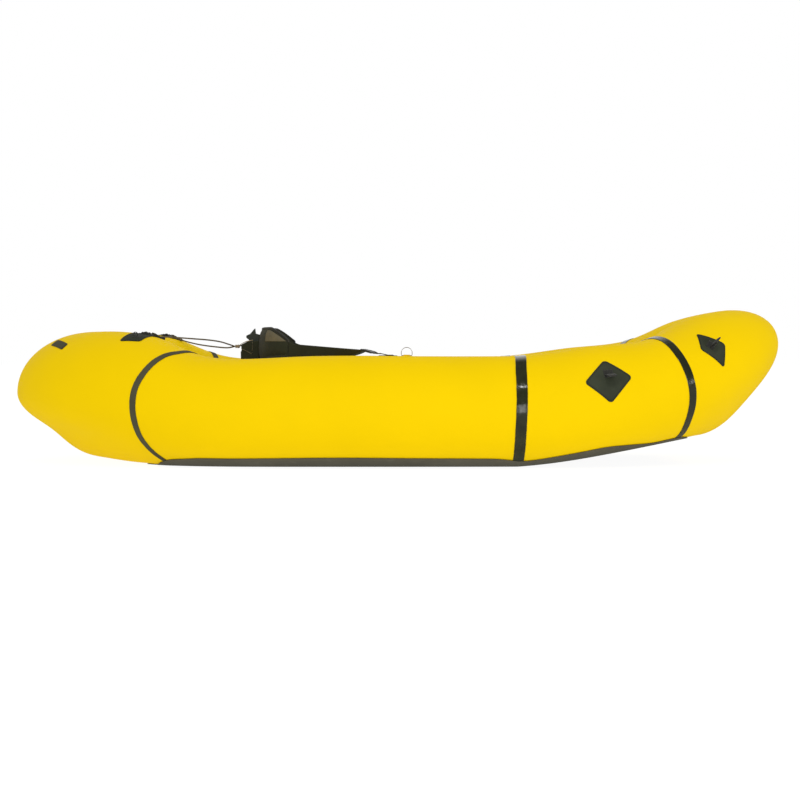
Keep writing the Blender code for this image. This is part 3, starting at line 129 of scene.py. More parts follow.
# Reinforcement patches: the station and the turn in degrees of each corner
PATCHES = {
    "stern_patch": (((1.906, 63.1), (2.122, 71.3), (1.950, 97.0), (1.660, 91.0)), "patch_fabric"),
    "rear_patch": (((0.600, 56.4), (1.195, 50.4), (1.215, 42.8), (0.746, 47.9)), "matte_tape"),
    "front_patch": (((7.026, 48.2), (7.290, 23.1), (6.987, -1.6), (6.723, 23.6)), "patch_fabric"),
    "bow_patch": (((8.420, 60.0), (8.566, 33.1), (8.397, 8.8), (8.258, 37.4)), "patch_fabric"),
}
PATCH_CORNER_SHARE = 0.24
PATCH_WELD_SHARE = 0.87
PATCH_WELD_DEPTH = 0.00030
PATCH_CELLS = 36
PATCH_SEAT = 0.0006
PATCH_THICKNESS = 0.0014
CLOTH_THICKNESS = 0.0011

# Webbing loops on the front and bow patches: station, then turn, heading and dip in degrees
LOOPS = {"front_loop": (7.02, 28, 90, -55), "bow_loop": (8.41, 36, 67, -80)}
LOOP_LENGTH = 0.034
LOOP_HEIGHT = 0.0065
LOOP_WIDTH = 0.025
LOOP_STEPS = 48
LOOP_BASE_HALF = 0.019
LOOP_TAB = 0.0003
LOOP_ROOM = 0.0008
LOOP_TAB_CELLS = 12
LOOP_TAB_SHARES = (0.62, 0.72)
LOOP_TAB_SHIFT = 0.006
THREAD_SEAT = 0.0002
WEBBING_THICKNESS = 0.0018
WEBBING_STEP = 0.0012

# Stern strap, ladder lock and shock cords
STERN_FITTING_STATION = 1.86
STERN_BUCKLE_TURN = radians(101)
STERN_STRAP_LENGTH = 0.060
STERN_STRAP_WIDTH = 0.018
STERN_STRAP_LIFTS = (0.0041, 0.0041, 0.0038, 0.0030, 0.0026)
STERN_LOOP_REACH = 0.072
STERN_LOOP_DIAMETER = 0.0145
STERN_LOOP_WIDTH = 0.005
STERN_BUNDLE = ((-0.7405, 0.2270, 0.3650), (-0.7279, 0.2150, 0.3668), (-0.7109, 0.2100, 0.3688),
                (-0.6912, 0.2080, 0.3650), (-0.6760, 0.2010, 0.3580), (-0.6630, 0.1900, 0.3530))
STERN_BUNDLE_STRANDS = 3
STERN_BUNDLE_TWIST = 9.0
STERN_BUNDLE_RADIUS = 0.0028
STERN_BUNDLE_POINTS = 90
STERN_RING_STEPS = 28
BUCKLE_LENGTH = 0.036
BUCKLE_THICKNESS = 0.006
CORD_DIAMETER = 0.004
CORD_ROUTES = {
    "left": ((-0.6730, 0.1840, 0.3600), (-0.6520, 0.1660, 0.3520), (-0.6149, 0.1350, 0.3430),
             (-0.5830, 0.1060, 0.3375), (-0.5407, 0.0690, 0.3325), (-0.5050, 0.0320, 0.3300),
             (-0.4809, 0.0030, 0.3340)),
    "right": ((-0.6730, -0.1840, 0.3600), (-0.6440, -0.1640, 0.3590), (-0.5999, -0.1280, 0.3558),
              (-0.5500, -0.0840, 0.3520), (-0.5180, -0.0480, 0.3470), (-0.4970, -0.0210, 0.3400),
              (-0.4806, -0.0030, 0.3340)),
}
CORD_POINTS = 24
# The cord's end round the lock's bars, in the lock's own frame
CORD_TAIL = ((0.0130, 0.001, 0.0030), (0.0080, 0.001, 0.0088), (0.002, 0.000, 0.0092),
             (-0.004, -0.001, 0.0085), (-0.0078, 0.000, 0.0040))

# Side straps of the backrest
SIDE_ANCHOR_STATION = 4.82
SIDE_ANCHOR_TURN = radians(98)
SIDE_ANCHOR_HALF_SIZES = (0.026, 0.018)
SIDE_STRAP_TAIL = 0.014
SIDE_STRAP_BULGE = 0.002
SIDE_STRAP_WIDTH = 0.016
SIDE_BUCKLE_STATION = 4.63
SIDE_BUCKLE_TURN = radians(103.5)
SIDE_BUCKLE_LIFT = 0.0148
SIDE_BUCKLE_PITCH = radians(14)
SIDE_BUCKLE_YAW = radians(26)
WING_STRAP_WIDTH = 0.020
WING_BAND_SHARE = 0.955
WING_BAND_HEIGHT = 0.062
WING_BAND_THICKNESS = 0.0016
WING_BAND_DIP = 0.009
WING_BAND_FLARE = 0.006
WING_BAND_FLARE_SHARE = 0.12
WING_BAND_CELLS = (120, 28)
WING_BAND_HOLLOW = 0.0014

# Seat cushion
SEAT_REAR = -0.450
SEAT_FRONT = -0.085
SEAT_HALF_WIDTH = WIDTH / 2 - TUBE_DIAMETER - 0.005
SEAT_HEIGHT = 0.082
SEAT_RIM = 0.016
SEAT_CELLS = (56, 56)
SEAT_CHANNEL_SHARES = (-0.375, 0.375)
SEAT_CHANNEL_DEPTH = 0.016
SEAT_CHANNEL_WIDTH = 0.016
SEAT_CROWN = 0.014
SEAT_DRAW_SHARE = 0.05
SEAT_FOOT_SHARE = 0.94
SEAT_SHRINK_SHARE = 0.985

# Backrest
BACK_X = -0.396
BACK_HALF_WIDTH = WIDTH / 2 - TUBE_DIAMETER - 0.023
BACK_REACH = 0.100
BACK_WING = radians(80)
BACK_THICKNESS = 0.034
BACK_RIM = 0.006
BACK_TOP = 0.382
BACK_WING_TOP = 0.3456
BACK_FALL_POWER = 1.36
BACK_WING_LOW = 0.236
BACK_TOP_BEND = radians(46)
BACK_CELLS = (88, 48)
BACK_CHANNEL_SHARES = (0.36, 0.66)
BACK_CHANNEL_SHARE = 0.34
BACK_CHANNEL_SPREAD_SHARE = 0.055
BACK_WING_THIN_SHARE = 0.72
HEM_X = -0.3955
HEM_Z = 0.122
HEM_RADIUS = 0.005
HEM_HALF_LENGTH = BACK_HALF_WIDTH - 0.016
ANCHOR_CUP_RADIUS = 0.008
ANCHOR_CUP_LENGTH = 0.024
ANCHOR_WIDTH = 0.026
BINDING_RADIUS = 0.0046
BINDING_SEAT = 0.0026
PANEL_SPAN = (0.52, 0.966)
PANEL_LOW = 0.3475
PANEL_DROP = 0.002
PANEL_CELLS = (70, 24)
PANEL_WRINKLE = 0.0011
BINDING_STEPS = 90
CAST_REACH = 0.05

# Harness behind the backrest
SLEEVE_LOW = 0.215
SLEEVE_HALF_WIDTH = 0.030
POCKET_OUTLINE = ((-0.4582, SLEEVE_LOW), (-0.4582, 0.3272), (-0.4611, 0.3377), (-0.4420, 0.3480),
                  (-0.4000, 0.3520), (-0.4000, SLEEVE_LOW))
ADJUSTER_SHIFT = (0.009, 0, 0.003)
# The piping's lines in X and Z, with their slots
PIPING = (("tan_plastic", (-0.4635, 0.3377), (-0.4450, 0.3478), (-0.4245, 0.3522)),
          ("panel_fabric", (-0.4263, 0.3465), (-0.4263, 0.3143)),
          ("panel_fabric", (-0.4590, 0.3272), (-0.4430, 0.3196), (-0.4283, 0.3114)))
PIPING_DIAMETER = 0.0022
HOOK_PLACE = Vector((-0.4730, 0, 0.3340))
HOOK_PROFILE = ((0, -0.006), (0.0040, -0.006), (0.0050, -0.0052), (0.0050, -0.0028), (0.0040, -0.0020),
                (0.0040, 0.0000), (0.0052, 0.0010), (0.0052, 0.0040), (0.0042, 0.006), (0, 0.006))
BRIDLE_DIAMETER = 0.003
BRIDLE_ROUTE = ((-0.4560, 0, 0.3385), (-0.4380, 0, 0.3420))

# Main valve and leash hoop
VALVE_STATION = 5.0
VALVE_TURN = radians(126)
VALVE_FLANGE_RADIUS = 0.036
VALVE_BODY_RADIUS = 0.021
VALVE_FLANGE_STEPS = (120, 34)
VALVE_FLANGE_THICKNESS = 0.0016
VALVE_FLANGE_RING = 0.0003
HOOP_STATION = 5.0
HOOP_TURN = radians(98)
HOOP_WIDTH = 0.034
HOOP_HEIGHT = 0.026
HOOP_WIRE = 0.0020
HOOP_TUBE_LENGTH = 0.020
HOOP_TUBE_WALL = 0.0012
HOOP_CORNER = 0.003
HOOP_TUBE_SOFT = 0.0003
HOOP_PATCH_HALF_SIZES = (0.019, 0.012)

# Rounding of the moulded fittings, and the cloth simulation of the padded ones
MOULD_MERGE = 0.00001
MOULD_FLAT = radians(2)
CLOTH_PRESSURE = 4
CLOTH_MASS = 0.2
CLOTH_FRAMES = 20

# The camera's place and lens, and the lamps
CAMERA_PLACE = (0.006, -5.0, 0.3026)
CAMERA_LENS = 76.37
CAMERA_SHIFT = -0.05375
LAMPS = {
    "key_lamp": ((0.67, -5.0, 0.66), 1.25, 34),
    "high_lamp": ((0.66, -3.6, 4.30), 0.30, 30),
    "side_lamp": ((4.40, -3.1, 0.80), 0.60, 14),
}
LAMP_AIM = (0, 0, 0.2)
SKY_LEVEL = 0.80
MIRRORED_LEVEL = 0.10
BACKDROP_EDGES = (0.60, 0.85)
FLOOR_HALF_SIZE = 60
FLOOR_GLOW = 0.94
GROUND_GAP = 0.0004
FLOOR_SHADE_SHARE = 0.12
FLOOR_LIGHT = 0.74
FLOOR_TONE = 0.30


# Sizes and colours that a user would change

def length_size(name, description, default):
    return FloatProperty(name=name, description=description, default=default, min=0, unit="LENGTH",
                         subtype="DISTANCE", precision=5)


def colour(name, description, default):
    return FloatVectorProperty(name=name, description=description, default=default, size=3, min=0, max=1,
                               subtype="COLOR")


class RaftSizes(bpy.types.PropertyGroup):
    """Sizes of the small detail that the looks add."""
    pucker_depth: length_size("Pucker depth", "Depth of the puckers beside a welded seam", 0.0009)
    pucker_reach: length_size("Pucker reach", "How far the puckers run from a seam", 0.030)
    pucker_spacing: length_size("Pucker spacing", "Distance between puckers round the tube", 0.016)
    ridge_pitch: length_size("Ridge pitch", "Distance between the lengthwise ridges of a glossy tape", 0.0035)
    ridge_depth: length_size("Ridge depth", "Depth of those ridges", 0.00016)
    rib_pitch: length_size("Rib pitch", "Distance between the lengthwise ribs of webbing", 0.0016)
    rib_depth: length_size("Rib depth", "Depth of those ribs", 0.00012)
    stitch_pitch: length_size("Stitch pitch", "Distance from stitch to stitch", 0.0032)
    stitch_length: length_size("Stitch length", "Length of one stitch", 0.0023)
    thread: length_size("Thread", "Thickness of the sewing thread", 0.0006)


class RaftColours(bpy.types.PropertyGroup):
    """Colours of the raft's materials."""
    hull: colour("Hull", "Coated fabric of the tubes", (0.86, 0.585, 0.001))
    gloss_tape: colour("Glossy tape", "Welded tapes of the bow half", (0.020, 0.022, 0.008))
    matte_tape: colour("Matte tape", "Stern tapes and the patches that match them", (0.072, 0.068, 0.038))
    floor: colour("Floor", "Heavy fabric under the raft", (0.098, 0.092, 0.064))
    patch: colour("Patch", "Reinforcement patches", (0.036, 0.042, 0.024))
    webbing: colour("Webbing", "Straps and loops", (0.024, 0.024, 0.019))
    backrest: colour("Backrest", "Fabric of the backrest", (0.024, 0.027, 0.014))
    panel: colour("Side panel", "Light panels of the backrest", (0.130, 0.112, 0.068))
    seat: colour("Seat", "Fabric of the seat", (0.055, 0.049, 0.028))
    thread: colour("Thread", "Sewing thread", (0.075, 0.070, 0.050))
    cord: colour("Cord", "Sheath of the shock cord", (0.130, 0.105, 0.070))
    green: colour("Adjuster", "Moulded plastic of the adjuster", (0.014, 0.022, 0.012))
    black: colour("Black plastic", "Buckles and the valves", (0.024, 0.025, 0.023))
    tan: colour("Hook", "Moulded plastic of the hook", (0.320, 0.245, 0.150))
    hoop: colour("Hoop", "Plastic of the leash hoop", (0.230, 0.190, 0.150))
    rubber: colour("Rubber", "The main valve's gasket", (0.017, 0.017, 0.017))
    steel: colour("Steel", "The main valve's spring", (0.55, 0.55, 0.53))


# Node helpers

def socket(sockets, name):
    """The first socket in use with that name."""
    named = [item for item in sockets if item.name == name]
    return next((item for item in named if item.enabled), named[0])


def node(tree, kind, inputs=None, output=None, **settings):
    """Adds a node, fills its inputs with values or other nodes' outputs, and gives one of its outputs."""
    made = tree.nodes.new(kind)
    for key, value in settings.items():
        setattr(made, key, value)
    for key, value in (inputs or {}).items():
        target = made.inputs[key] if isinstance(key, int) else socket(made.inputs, key)
        if isinstance(value, bpy.types.NodeSocket):
            tree.links.new(value, target)
        else:
            target.default_value = value
    if output is not None:
        return socket(made.outputs, output)
    return next((item for item in made.outputs if item.enabled), made)


def maths(tree, operation, *values, clamp=False):
    """The output of a Math node."""
    kind = "ShaderNodeMath"
    return node(tree, kind, dict(enumerate(values)), operation=operation, use_clamp=clamp)


def vectors(tree, operation, *values):
    """The output of a Vector Math node."""
    inputs = {"Scale": values[1], 0: values[0]} if operation == "SCALE" else dict(enumerate(values))
    return node(tree, "ShaderNodeVectorMath", inputs, operation=operation)


def times(tree, first, *others):
    """The product of several values."""
    for other in others:
        first = maths(tree, "MULTIPLY", first, other)
    return first


def pattern(tree, place, scale, detail, **others):
    """The value of a noise texture at a place."""
    return node(tree, "ShaderNodeTexNoise", {"Vector": place, "Scale": scale, "Detail": detail, **others},
                output="Fac")


def pushed(tree, geometry, ways, lift):
    """The geometry with its points moved along their ways by a lift."""
    offset = vectors(tree, "SCALE", ways, lift)
    return node(tree, "GeometryNodeSetPosition", {"Geometry": geometry, "Offset": offset})


def stored(tree, name, kind="FLOAT"):
    """A named attribute of the geometry."""
    return node(tree, "GeometryNodeInputNamedAttribute", {"Name": name}, output="Attribute", data_type=kind)


def new_tree(name, *sockets):
    """A geometry node tree with named inputs besides its geometry and its material, and those inputs."""
    tree = bpy.data.node_groups.new(name, "GeometryNodeTree")
    tree.interface.new_socket("Geometry", in_out="OUTPUT", socket_type="NodeSocketGeometry")
    kinds = [("Geometry", "Geometry"), *((label, "Float") for label in sockets), ("Material", "Material")]
    for label, kind in kinds:
        tree.interface.new_socket(label, in_out="INPUT", socket_type="NodeSocket" + kind)
    return tree, tree.nodes.new("NodeGroupInput").outputs


def close_tree(tree, geometry, material):
    """Ends a tree: the instances made real, and the material set."""
    real = node(tree, "GeometryNodeRealizeInstances", {"Geometry": geometry})
    painted = node(tree, "GeometryNodeSetMaterial", {"Geometry": real, "Material": material})
    node(tree, "NodeGroupOutput", {"Geometry": painted})
    return tree


def baked(item, modifier):
    """Puts what a modifier makes in place of the object's own mesh."""
    mesh = bpy.data.meshes.new_from_object(item.evaluated_get(bpy.context.evaluated_depsgraph_get()))
    item.modifiers.remove(modifier)
    item.data = mesh
    return mesh


def evened(item, size):
    """Remeshes a piece to faces of one size."""
    remesh = item.modifiers.new("even", "REMESH")
    remesh.mode = "VOXEL"
    remesh.voxel_size = size
    return baked(item, remesh)


def grown(item, tree, **values):
    """Runs a tree on an object and keeps the result as its plain mesh."""
    modifier = item.modifiers.new(tree.name, "NODES")
    modifier.node_group = tree
    for entry in tree.interface.items_tree:
        key = entry.name.lower().replace(" ", "_")
        if entry.in_out == "INPUT" and key in values:
            modifier[entry.identifier] = values[key]
    bpy.context.view_layer.update()
    mesh = baked(item, modifier)
    mesh.name = item.name
    mesh.shade_smooth()
    return item


def sizes():
    return bpy.context.scene.raft_sizes


def pucker_tree():
    """Draws fabric in beside a seam, in puckers that fade away from it."""
    tree, given = new_tree("puckers", "Depth", "Reach", "Spacing", "Seed")
    seam, around = stored(tree, "seam"), stored(tree, "around")
    place = node(tree, "ShaderNodeCombineXYZ", {
        "X": maths(tree, "DIVIDE", around, given["Spacing"]),
        "Y": maths(tree, "DIVIDE", seam, times(tree, given["Spacing"], 3.0)), "Z": given["Seed"]})
    rough = maths(tree, "SUBTRACT", pattern(tree, place, 1.0, 2.0), 0.25, clamp=True)
    fade = maths(tree, "EXPONENT", times(tree, maths(tree, "DIVIDE", seam, given["Reach"]), -1.0))
    drop = times(tree, times(tree, rough, fade), times(tree, given["Depth"], -2.0))
    soft = pattern(tree, node(tree, "GeometryNodeInputPosition"), 7.0, 1.0)
    drop = maths(tree, "ADD", drop, times(tree, soft, times(tree, given["Depth"], -0.8)))
    moved = pushed(tree, given["Geometry"], stored(tree, "out", "FLOAT_VECTOR"), drop)
    return close_tree(tree, moved, given["Material"])


def ridge_tree():
    """Raises lengthwise ridges and a pebbled grain on the outer face of a tape."""
    tree, given = new_tree("tape_ridges", "Pitch", "Depth", "Pebble", "Grain", "Seed")
    across, along = stored(tree, "across"), stored(tree, "along")
    stretch = node(tree, "ShaderNodeCombineXYZ", {
        "X": times(tree, along, 40.0), "Y": times(tree, across, 120.0), "Z": given["Seed"]})
    drift = pattern(tree, stretch, 1.0, 1.0)
    phase = maths(tree, "ADD", maths(tree, "DIVIDE", times(tree, across, tau), given["Pitch"]),
                  times(tree, drift, 3.0))
    ridge = times(tree, maths(tree, "SINE", phase), times(tree, given["Depth"], maths(tree, "ADD", drift, 0.5)))
    pebbles = pattern(tree, node(tree, "GeometryNodeInputPosition"), given["Grain"], 2.0)
    pebble = times(tree, maths(tree, "SUBTRACT", pebbles, 0.5), given["Pebble"])
    lift = times(tree, maths(tree, "ADD", ridge, pebble), stored(tree, "face"))
    moved = pushed(tree, given["Geometry"], stored(tree, "out", "FLOAT_VECTOR"), lift)
    return close_tree(tree, moved, given["Material"])


def swept(tree, route, profile, step):
    """A profile swept along a route whose points carry a side vector, with its lengths as texture map."""
    curve = node(tree, "GeometryNodeMeshToCurve", {"Mesh": route})
    curve = node(tree, "GeometryNodeResampleCurve", {"Curve": curve, "Length": step}, mode="LENGTH")
    side = stored(tree, "side", "FLOAT_VECTOR")
    curve = node(tree, "GeometryNodeSetCurveNormal", {"Curve": curve, "Normal": side}, mode="FREE")
    made = []
    for line, name in ((curve, "along"), (profile, "around")):
        run = node(tree, "GeometryNodeSplineParameter", output="Length")
        made.append(node(tree, "GeometryNodeStoreNamedAttribute",
                         {"Geometry": line, "Name": name, "Value": run}, data_type="FLOAT", domain="POINT"))
    mesh = node(tree, "GeometryNodeCurveToMesh", {"Curve": made[0], "Profile Curve": made[1], "Fill Caps": True})
    place = node(tree, "ShaderNodeCombineXYZ", {"X": stored(tree, "along"), "Y": stored(tree, "around")})
    return node(tree, "GeometryNodeStoreNamedAttribute", {"Geometry": mesh, "Name": "UVMap", "Value": place},
                data_type="FLOAT2", domain="CORNER")


def webbing_tree():
    """Ribbed webbing with rounded edges along a route."""
    tree, given = new_tree("webbing", "Width", "Thickness", "Rib Pitch", "Rib Depth", "Step")
    profile = node(tree, "GeometryNodeCurvePrimitiveQuadrilateral",
                   {"Width": given["Thickness"], "Height": given["Width"]}, mode="RECTANGLE")
    profile = node(tree, "GeometryNodeFilletCurve", {
        "Curve": profile, "Radius": times(tree, given["Thickness"], 0.45), "Count": 3}, mode="POLY")
    profile = node(tree, "GeometryNodeResampleCurve", {"Curve": profile, "Count": 96}, mode="COUNT")
    place = node(tree, "ShaderNodeSeparateXYZ", {"Vector": node(tree, "GeometryNodeInputPosition")}).node.outputs
    rib = maths(tree, "COSINE", maths(tree, "DIVIDE", times(tree, place["Y"], tau), given["Rib Pitch"]))
    rib = times(tree, rib, given["Rib Depth"], maths(tree, "SIGN", place["X"]))
    profile = node(tree, "GeometryNodeSetPosition", {
        "Geometry": profile, "Offset": node(tree, "ShaderNodeCombineXYZ", {"X": rib})})
    return close_tree(tree, swept(tree, given["Geometry"], profile, given["Step"]), given["Material"])


def cord_tree():
    """A round cord along a route, with the crossing strands of its braided sheath."""
    tree, given = new_tree("cord", "Diameter", "Braid Depth", "Braid Pitch", "Step")
    radius = times(tree, given["Diameter"], 0.5)
    profile = node(tree, "GeometryNodeCurvePrimitiveCircle", {"Resolution": 20, "Radius": radius}, mode="RADIUS")
    mesh = swept(tree, given["Geometry"], profile, given["Step"])
    along = maths(tree, "DIVIDE", times(tree, stored(tree, "along"), tau), given["Braid Pitch"])
    angle = times(tree, maths(tree, "DIVIDE", stored(tree, "around"), radius), 3.0)
    strands = times(tree, *(maths(tree, "SINE", maths(tree, way, along, angle)) for way in ("ADD", "SUBTRACT")))
    mesh = pushed(tree, mesh, node(tree, "GeometryNodeInputNormal", output="Normal"),
                  times(tree, strands, given["Braid Depth"]))
    return close_tree(tree, mesh, given["Material"])


def stitch_tree():
    """Stitches in a row along a route whose points carry the way out of the cloth."""
    tree, given = new_tree("stitches", "Pitch", "Stitch", "Thread")
    curve = node(tree, "GeometryNodeMeshToCurve", {"Mesh": given["Geometry"]})
    curve = node(tree, "GeometryNodeResampleCurve", {"Curve": curve, "Length": given["Pitch"]}, mode="LENGTH")
    turn = node(tree, "FunctionNodeAxesToRotation", {
        "Primary Axis": node(tree, "GeometryNodeInputTangent"),
        "Secondary Axis": stored(tree, "side", "FLOAT_VECTOR")}, primary_axis="X", secondary_axis="Z")
    ball = node(tree, "GeometryNodeMeshUVSphere", {"Segments": 8, "Rings": 5, "Radius": 0.5}, output="Mesh")
    size = node(tree, "ShaderNodeCombineXYZ", {"X": given["Stitch"], "Y": given["Thread"], "Z": given["Thread"]})
    rows = node(tree, "GeometryNodeInstanceOnPoints",
                {"Points": curve, "Instance": ball, "Rotation": turn, "Scale": size})
    return close_tree(tree, rows, given["Material"])


def crease_tree():
    """Soft uneven creases over a piece of fabric."""
    tree, given = new_tree("creases", "Depth", "Scale", "Seed")
    place = vectors(tree, "ADD", node(tree, "GeometryNodeInputPosition"),
                    node(tree, "ShaderNodeCombineXYZ", {"X": given["Seed"]}))
    rough = pattern(tree, place, given["Scale"], 2.0, Distortion=0.6)
    lift = times(tree, maths(tree, "SUBTRACT", rough, 0.5), given["Depth"])
    moved = pushed(tree, given["Geometry"], node(tree, "GeometryNodeInputNormal", output="Normal"), lift)
    return close_tree(tree, moved, given["Material"])


TREES = {}
TREE_MAKERS = {"puckers": pucker_tree, "ridges": ridge_tree, "webbing": webbing_tree, "cord": cord_tree,
               "stitches": stitch_tree, "creases": crease_tree}


def tree(name):
    """A node tree by its name, made when it is first needed."""
    if name not in TREES:
        TREES[name] = TREE_MAKERS[name]()
    return TREES[name]


# Materials

def spread_values(tree, source, low, high, start=0.3, end=0.7):
    """Maps a pattern's value to a range."""
    return node(tree, "ShaderNodeMapRange", {"Value": source, "From Min": start, "From Max": end, "To Min": low,
                                             "To Max": high})


def blended(tree, share, first, second):
    """A mix of two colours by a pattern's share."""
    return node(tree, "ShaderNodeMix", {"Factor": share, "A": first, "B": second}, data_type="RGBA")


def finish(name, base, roughness, specular, mottle, mottle_scale, weave=0.0, weave_pitch=0.0008, metallic=0.0,
           grain=0.0, grain_scale=900.0, rim=0.0, sheen=0.0, coat=0.0, scuff=0.0, spread=0.05):
    """A material with a mottled colour and, where asked, a woven or grained surface, a dark rim and scuffs."""
    material = bpy.data.materials.new(name)
    material.use_nodes = True
    made = material.node_tree
    shader = made.nodes["Principled BSDF"]
    places = node(made, "ShaderNodeTexCoord", output="Object")
    patchy = pattern(made, places, mottle_scale, 3.0)
    low, high = ((*(min(1, value * share) for value in base), 1) for share in (1 - mottle, 1 + mottle))
    colour_out = blended(made, spread_values(made, patchy, 0, 1), low, high)
    if scuff:
        worn = spread_values(made, pattern(made, places, mottle_scale * 5, 6.0), 0, scuff, 0.58, 0.75)
        colour_out = blended(made, worn, colour_out, (*(min(1, value * 2.2 + 0.05) for value in base), 1))
    if rim:
        edge = node(made, "ShaderNodeAttribute", output="Fac", attribute_name="edge")
        dark = spread_values(made, edge, 0, rim, 0.84, 0.95)
        colour_out = blended(made, dark, colour_out, (*(value * 0.45 for value in base), 1))
    made.links.new(colour_out, shader.inputs["Base Color"])
    rough_out = spread_values(made, pattern(made, places, mottle_scale * 2, 3.0),
                              max(roughness - spread, 0.02), min(roughness + spread, 1))
    made.links.new(rough_out, shader.inputs["Roughness"])
    normal = None
    if weave:
        lengths = node(made, "ShaderNodeTexCoord", output="UV")
        run = node(made, "ShaderNodeSeparateXYZ", {"Vector": lengths}).node
        threads = [maths(made, "SINE", times(made, run.outputs[axis], tau / weave_pitch)) for axis in "XY"]
        cloth = spread_values(made, times(made, *threads), 0, 1, -1, 1)
        normal = node(made, "ShaderNodeBump", {"Height": cloth, "Distance": weave, "Strength": 1.0})
    if grain:
        inputs = {"Height": pattern(made, places, grain_scale, 2.0), "Distance": grain, "Strength": 1.0}
        if normal:
            inputs["Normal"] = normal
        normal = node(made, "ShaderNodeBump", inputs)
    if normal:
        made.links.new(normal, shader.inputs["Normal"])
    shader.inputs["Metallic"].default_value = metallic
    shader.inputs["Specular IOR Level"].default_value = specular
    shader.inputs["Sheen Weight"].default_value = sheen
    shader.inputs["Coat Weight"].default_value = coat
    material.diffuse_color = (*base, 1)
    return material


# By slot: the material's name, its tint, roughness, specular level, mottle, mottle's scale, weave and its pitch,
# and what else it has
FINISHES = {
    "yellow_fabric": ("coated_yellow_nylon", "hull", 0.55, 0.015, 0.018, 5, 0.000018, 0.0009,
                      {"grain": 0.00002, "grain_scale": 500}),
    "gloss_tape": ("glossy_welded_tape", "gloss_tape", 0.14, 0.5, 0.25, 30, 0, 0.0008,
                   {"grain": 0.00004, "grain_scale": 450, "spread": 0.08, "coat": 0.3}),
    "matte_tape": ("matte_welded_tape", "matte_tape", 0.75, 0.15, 0.12, 14, 0.00004, 0.0012, {"rim": 0.55}),
    "floor_fabric": ("heavy_floor_fabric", "floor", 0.78, 0.18, 0.10, 7, 0.00006, 0.0014, {"scuff": 0.12}),
    "patch_fabric": ("reinforcing_patch", "patch", 0.72, 0.2, 0.16, 20, 0.00005, 0.0012,
                     {"rim": 0.6, "scuff": 0.06}),
    "webbing": ("polyester_webbing", "webbing", 0.78, 0.3, 0.15, 60, 0.00012, 0.0016, {"sheen": 0.12}),
    "back_fabric": ("backrest_nylon", "backrest", 0.82, 0.2, 0.14, 12, 0.00006, 0.0010, {"sheen": 0.10}),
    "binding": ("bias_binding", "webbing", 0.80, 0.25, 0.15, 50, 0.00008, 0.0010, {"sheen": 0.12}),
    "panel_fabric": ("light_side_panel", "panel", 0.85, 0.2, 0.10, 25, 0.00008, 0.0012, {"sheen": 0.08}),
    "seat_fabric": ("seat_nylon", "seat", 0.80, 0.2, 0.12, 12, 0.00006, 0.0010, {"sheen": 0.10}),
    "green_plastic": ("moulded_green_plastic", "green", 0.42, 0.45, 0.08, 9, 0, 0.0008,
                      {"grain": 0.00003, "grain_scale": 700, "scuff": 0.10}),
    "black_plastic": ("moulded_black_plastic", "black", 0.38, 0.45, 0.08, 9, 0, 0.0008,
                      {"grain": 0.00003, "grain_scale": 700, "scuff": 0.08}),
    "rubber": ("valve_rubber", "rubber", 0.70, 0.3, 0.10, 9, 0, 0.0008, {"grain": 0.00004}),
    "steel": ("spring_steel", "steel", 0.28, 0.5, 0.06, 9, 0, 0.0008, {"metallic": 1.0, "grain": 0.00001}),
    "cord_sheath": ("braided_sheath", "cord", 0.80, 0.2, 0.30, 160, 0.00010, 0.0010, {}),
    "tan_plastic": ("moulded_tan_plastic", "tan", 0.50, 0.4, 0.10, 9, 0, 0.0008, {"grain": 0.00003}),
    "hoop_plastic": ("hoop_plastic", "hoop", 0.45, 0.4, 0.08, 9, 0, 0.0008, {"grain": 0.00002}),
    "thread": ("sewing_thread", "thread", 0.70, 0.2, 0.15, 200, 0, 0.0008, {}),
}
MATERIALS = {}


def make_materials():
    """All the raft's materials, by the record's slots and a few of the looks' own."""
    for slot, (name, tint, *settings, others) in FINISHES.items():
        MATERIALS[slot] = finish(name, getattr(bpy.context.scene.raft_colours, tint), *settings, **others)


# Mesh helpers

def linked(name, data):
    """An object in the scene that holds the data."""
    item = bpy.data.objects.new(name, data)
    bpy.context.collection.objects.link(item)
    return item


def solid(name, points, faces, slot, side=1, lengths=None, values=None):
    """A closed piece at the origin, mirrored to starboard where side is -1, with faces that point outwards.

    lengths holds each face corner's place on the cloth, and values the attributes of its points."""
    points = np.array(points, float) * (1, side, 1)
    faces = [list(face) for face in faces]
    volume = 0.0
    for face in faces:
        corners = points[face]
        volume += float((np.cross(corners[1:-1], corners[2:]) @ corners[0]).sum())
    flipped = volume < 0
    mesh = bpy.data.meshes.new(name)
    mesh.from_pydata(points.tolist(), [], [face[::-1] for face in faces] if flipped else faces)
    if lengths is not None:
        layer = mesh.uv_layers.new(name="UVMap")
        flat = np.concatenate([np.array(corner, float)[::-1] if flipped else np.array(corner, float)
                               for corner in lengths])
        layer.data.foreach_set("uv", flat.ravel())
    for key, data in (values or {}).items():
        data = np.array(data, float)
        kind, field = ("FLOAT_VECTOR", "vector") if data.ndim == 2 else ("FLOAT", "value")
        data = data * (1, side, 1) if data.ndim == 2 else data
        mesh.attributes.new(key, kind, "POINT").data.foreach_set(field, data.ravel())
    mesh.shade_smooth()
    return placed(name, mesh, slot)


def placed(name, mesh, slot):
    """An object at the origin that holds the mesh and takes the slot's material."""
    mesh.materials.clear()
    mesh.materials.append(MATERIALS[slot])
    return linked(name, mesh)


def run_lengths(grid, axis):
    """The length along each line of a grid of points, up to each point."""
    steps = np.linalg.norm(np.diff(grid, axis=axis), axis=2).cumsum(axis)
    return np.concatenate((np.zeros_like(np.take(steps, [0], axis)), steps), axis)


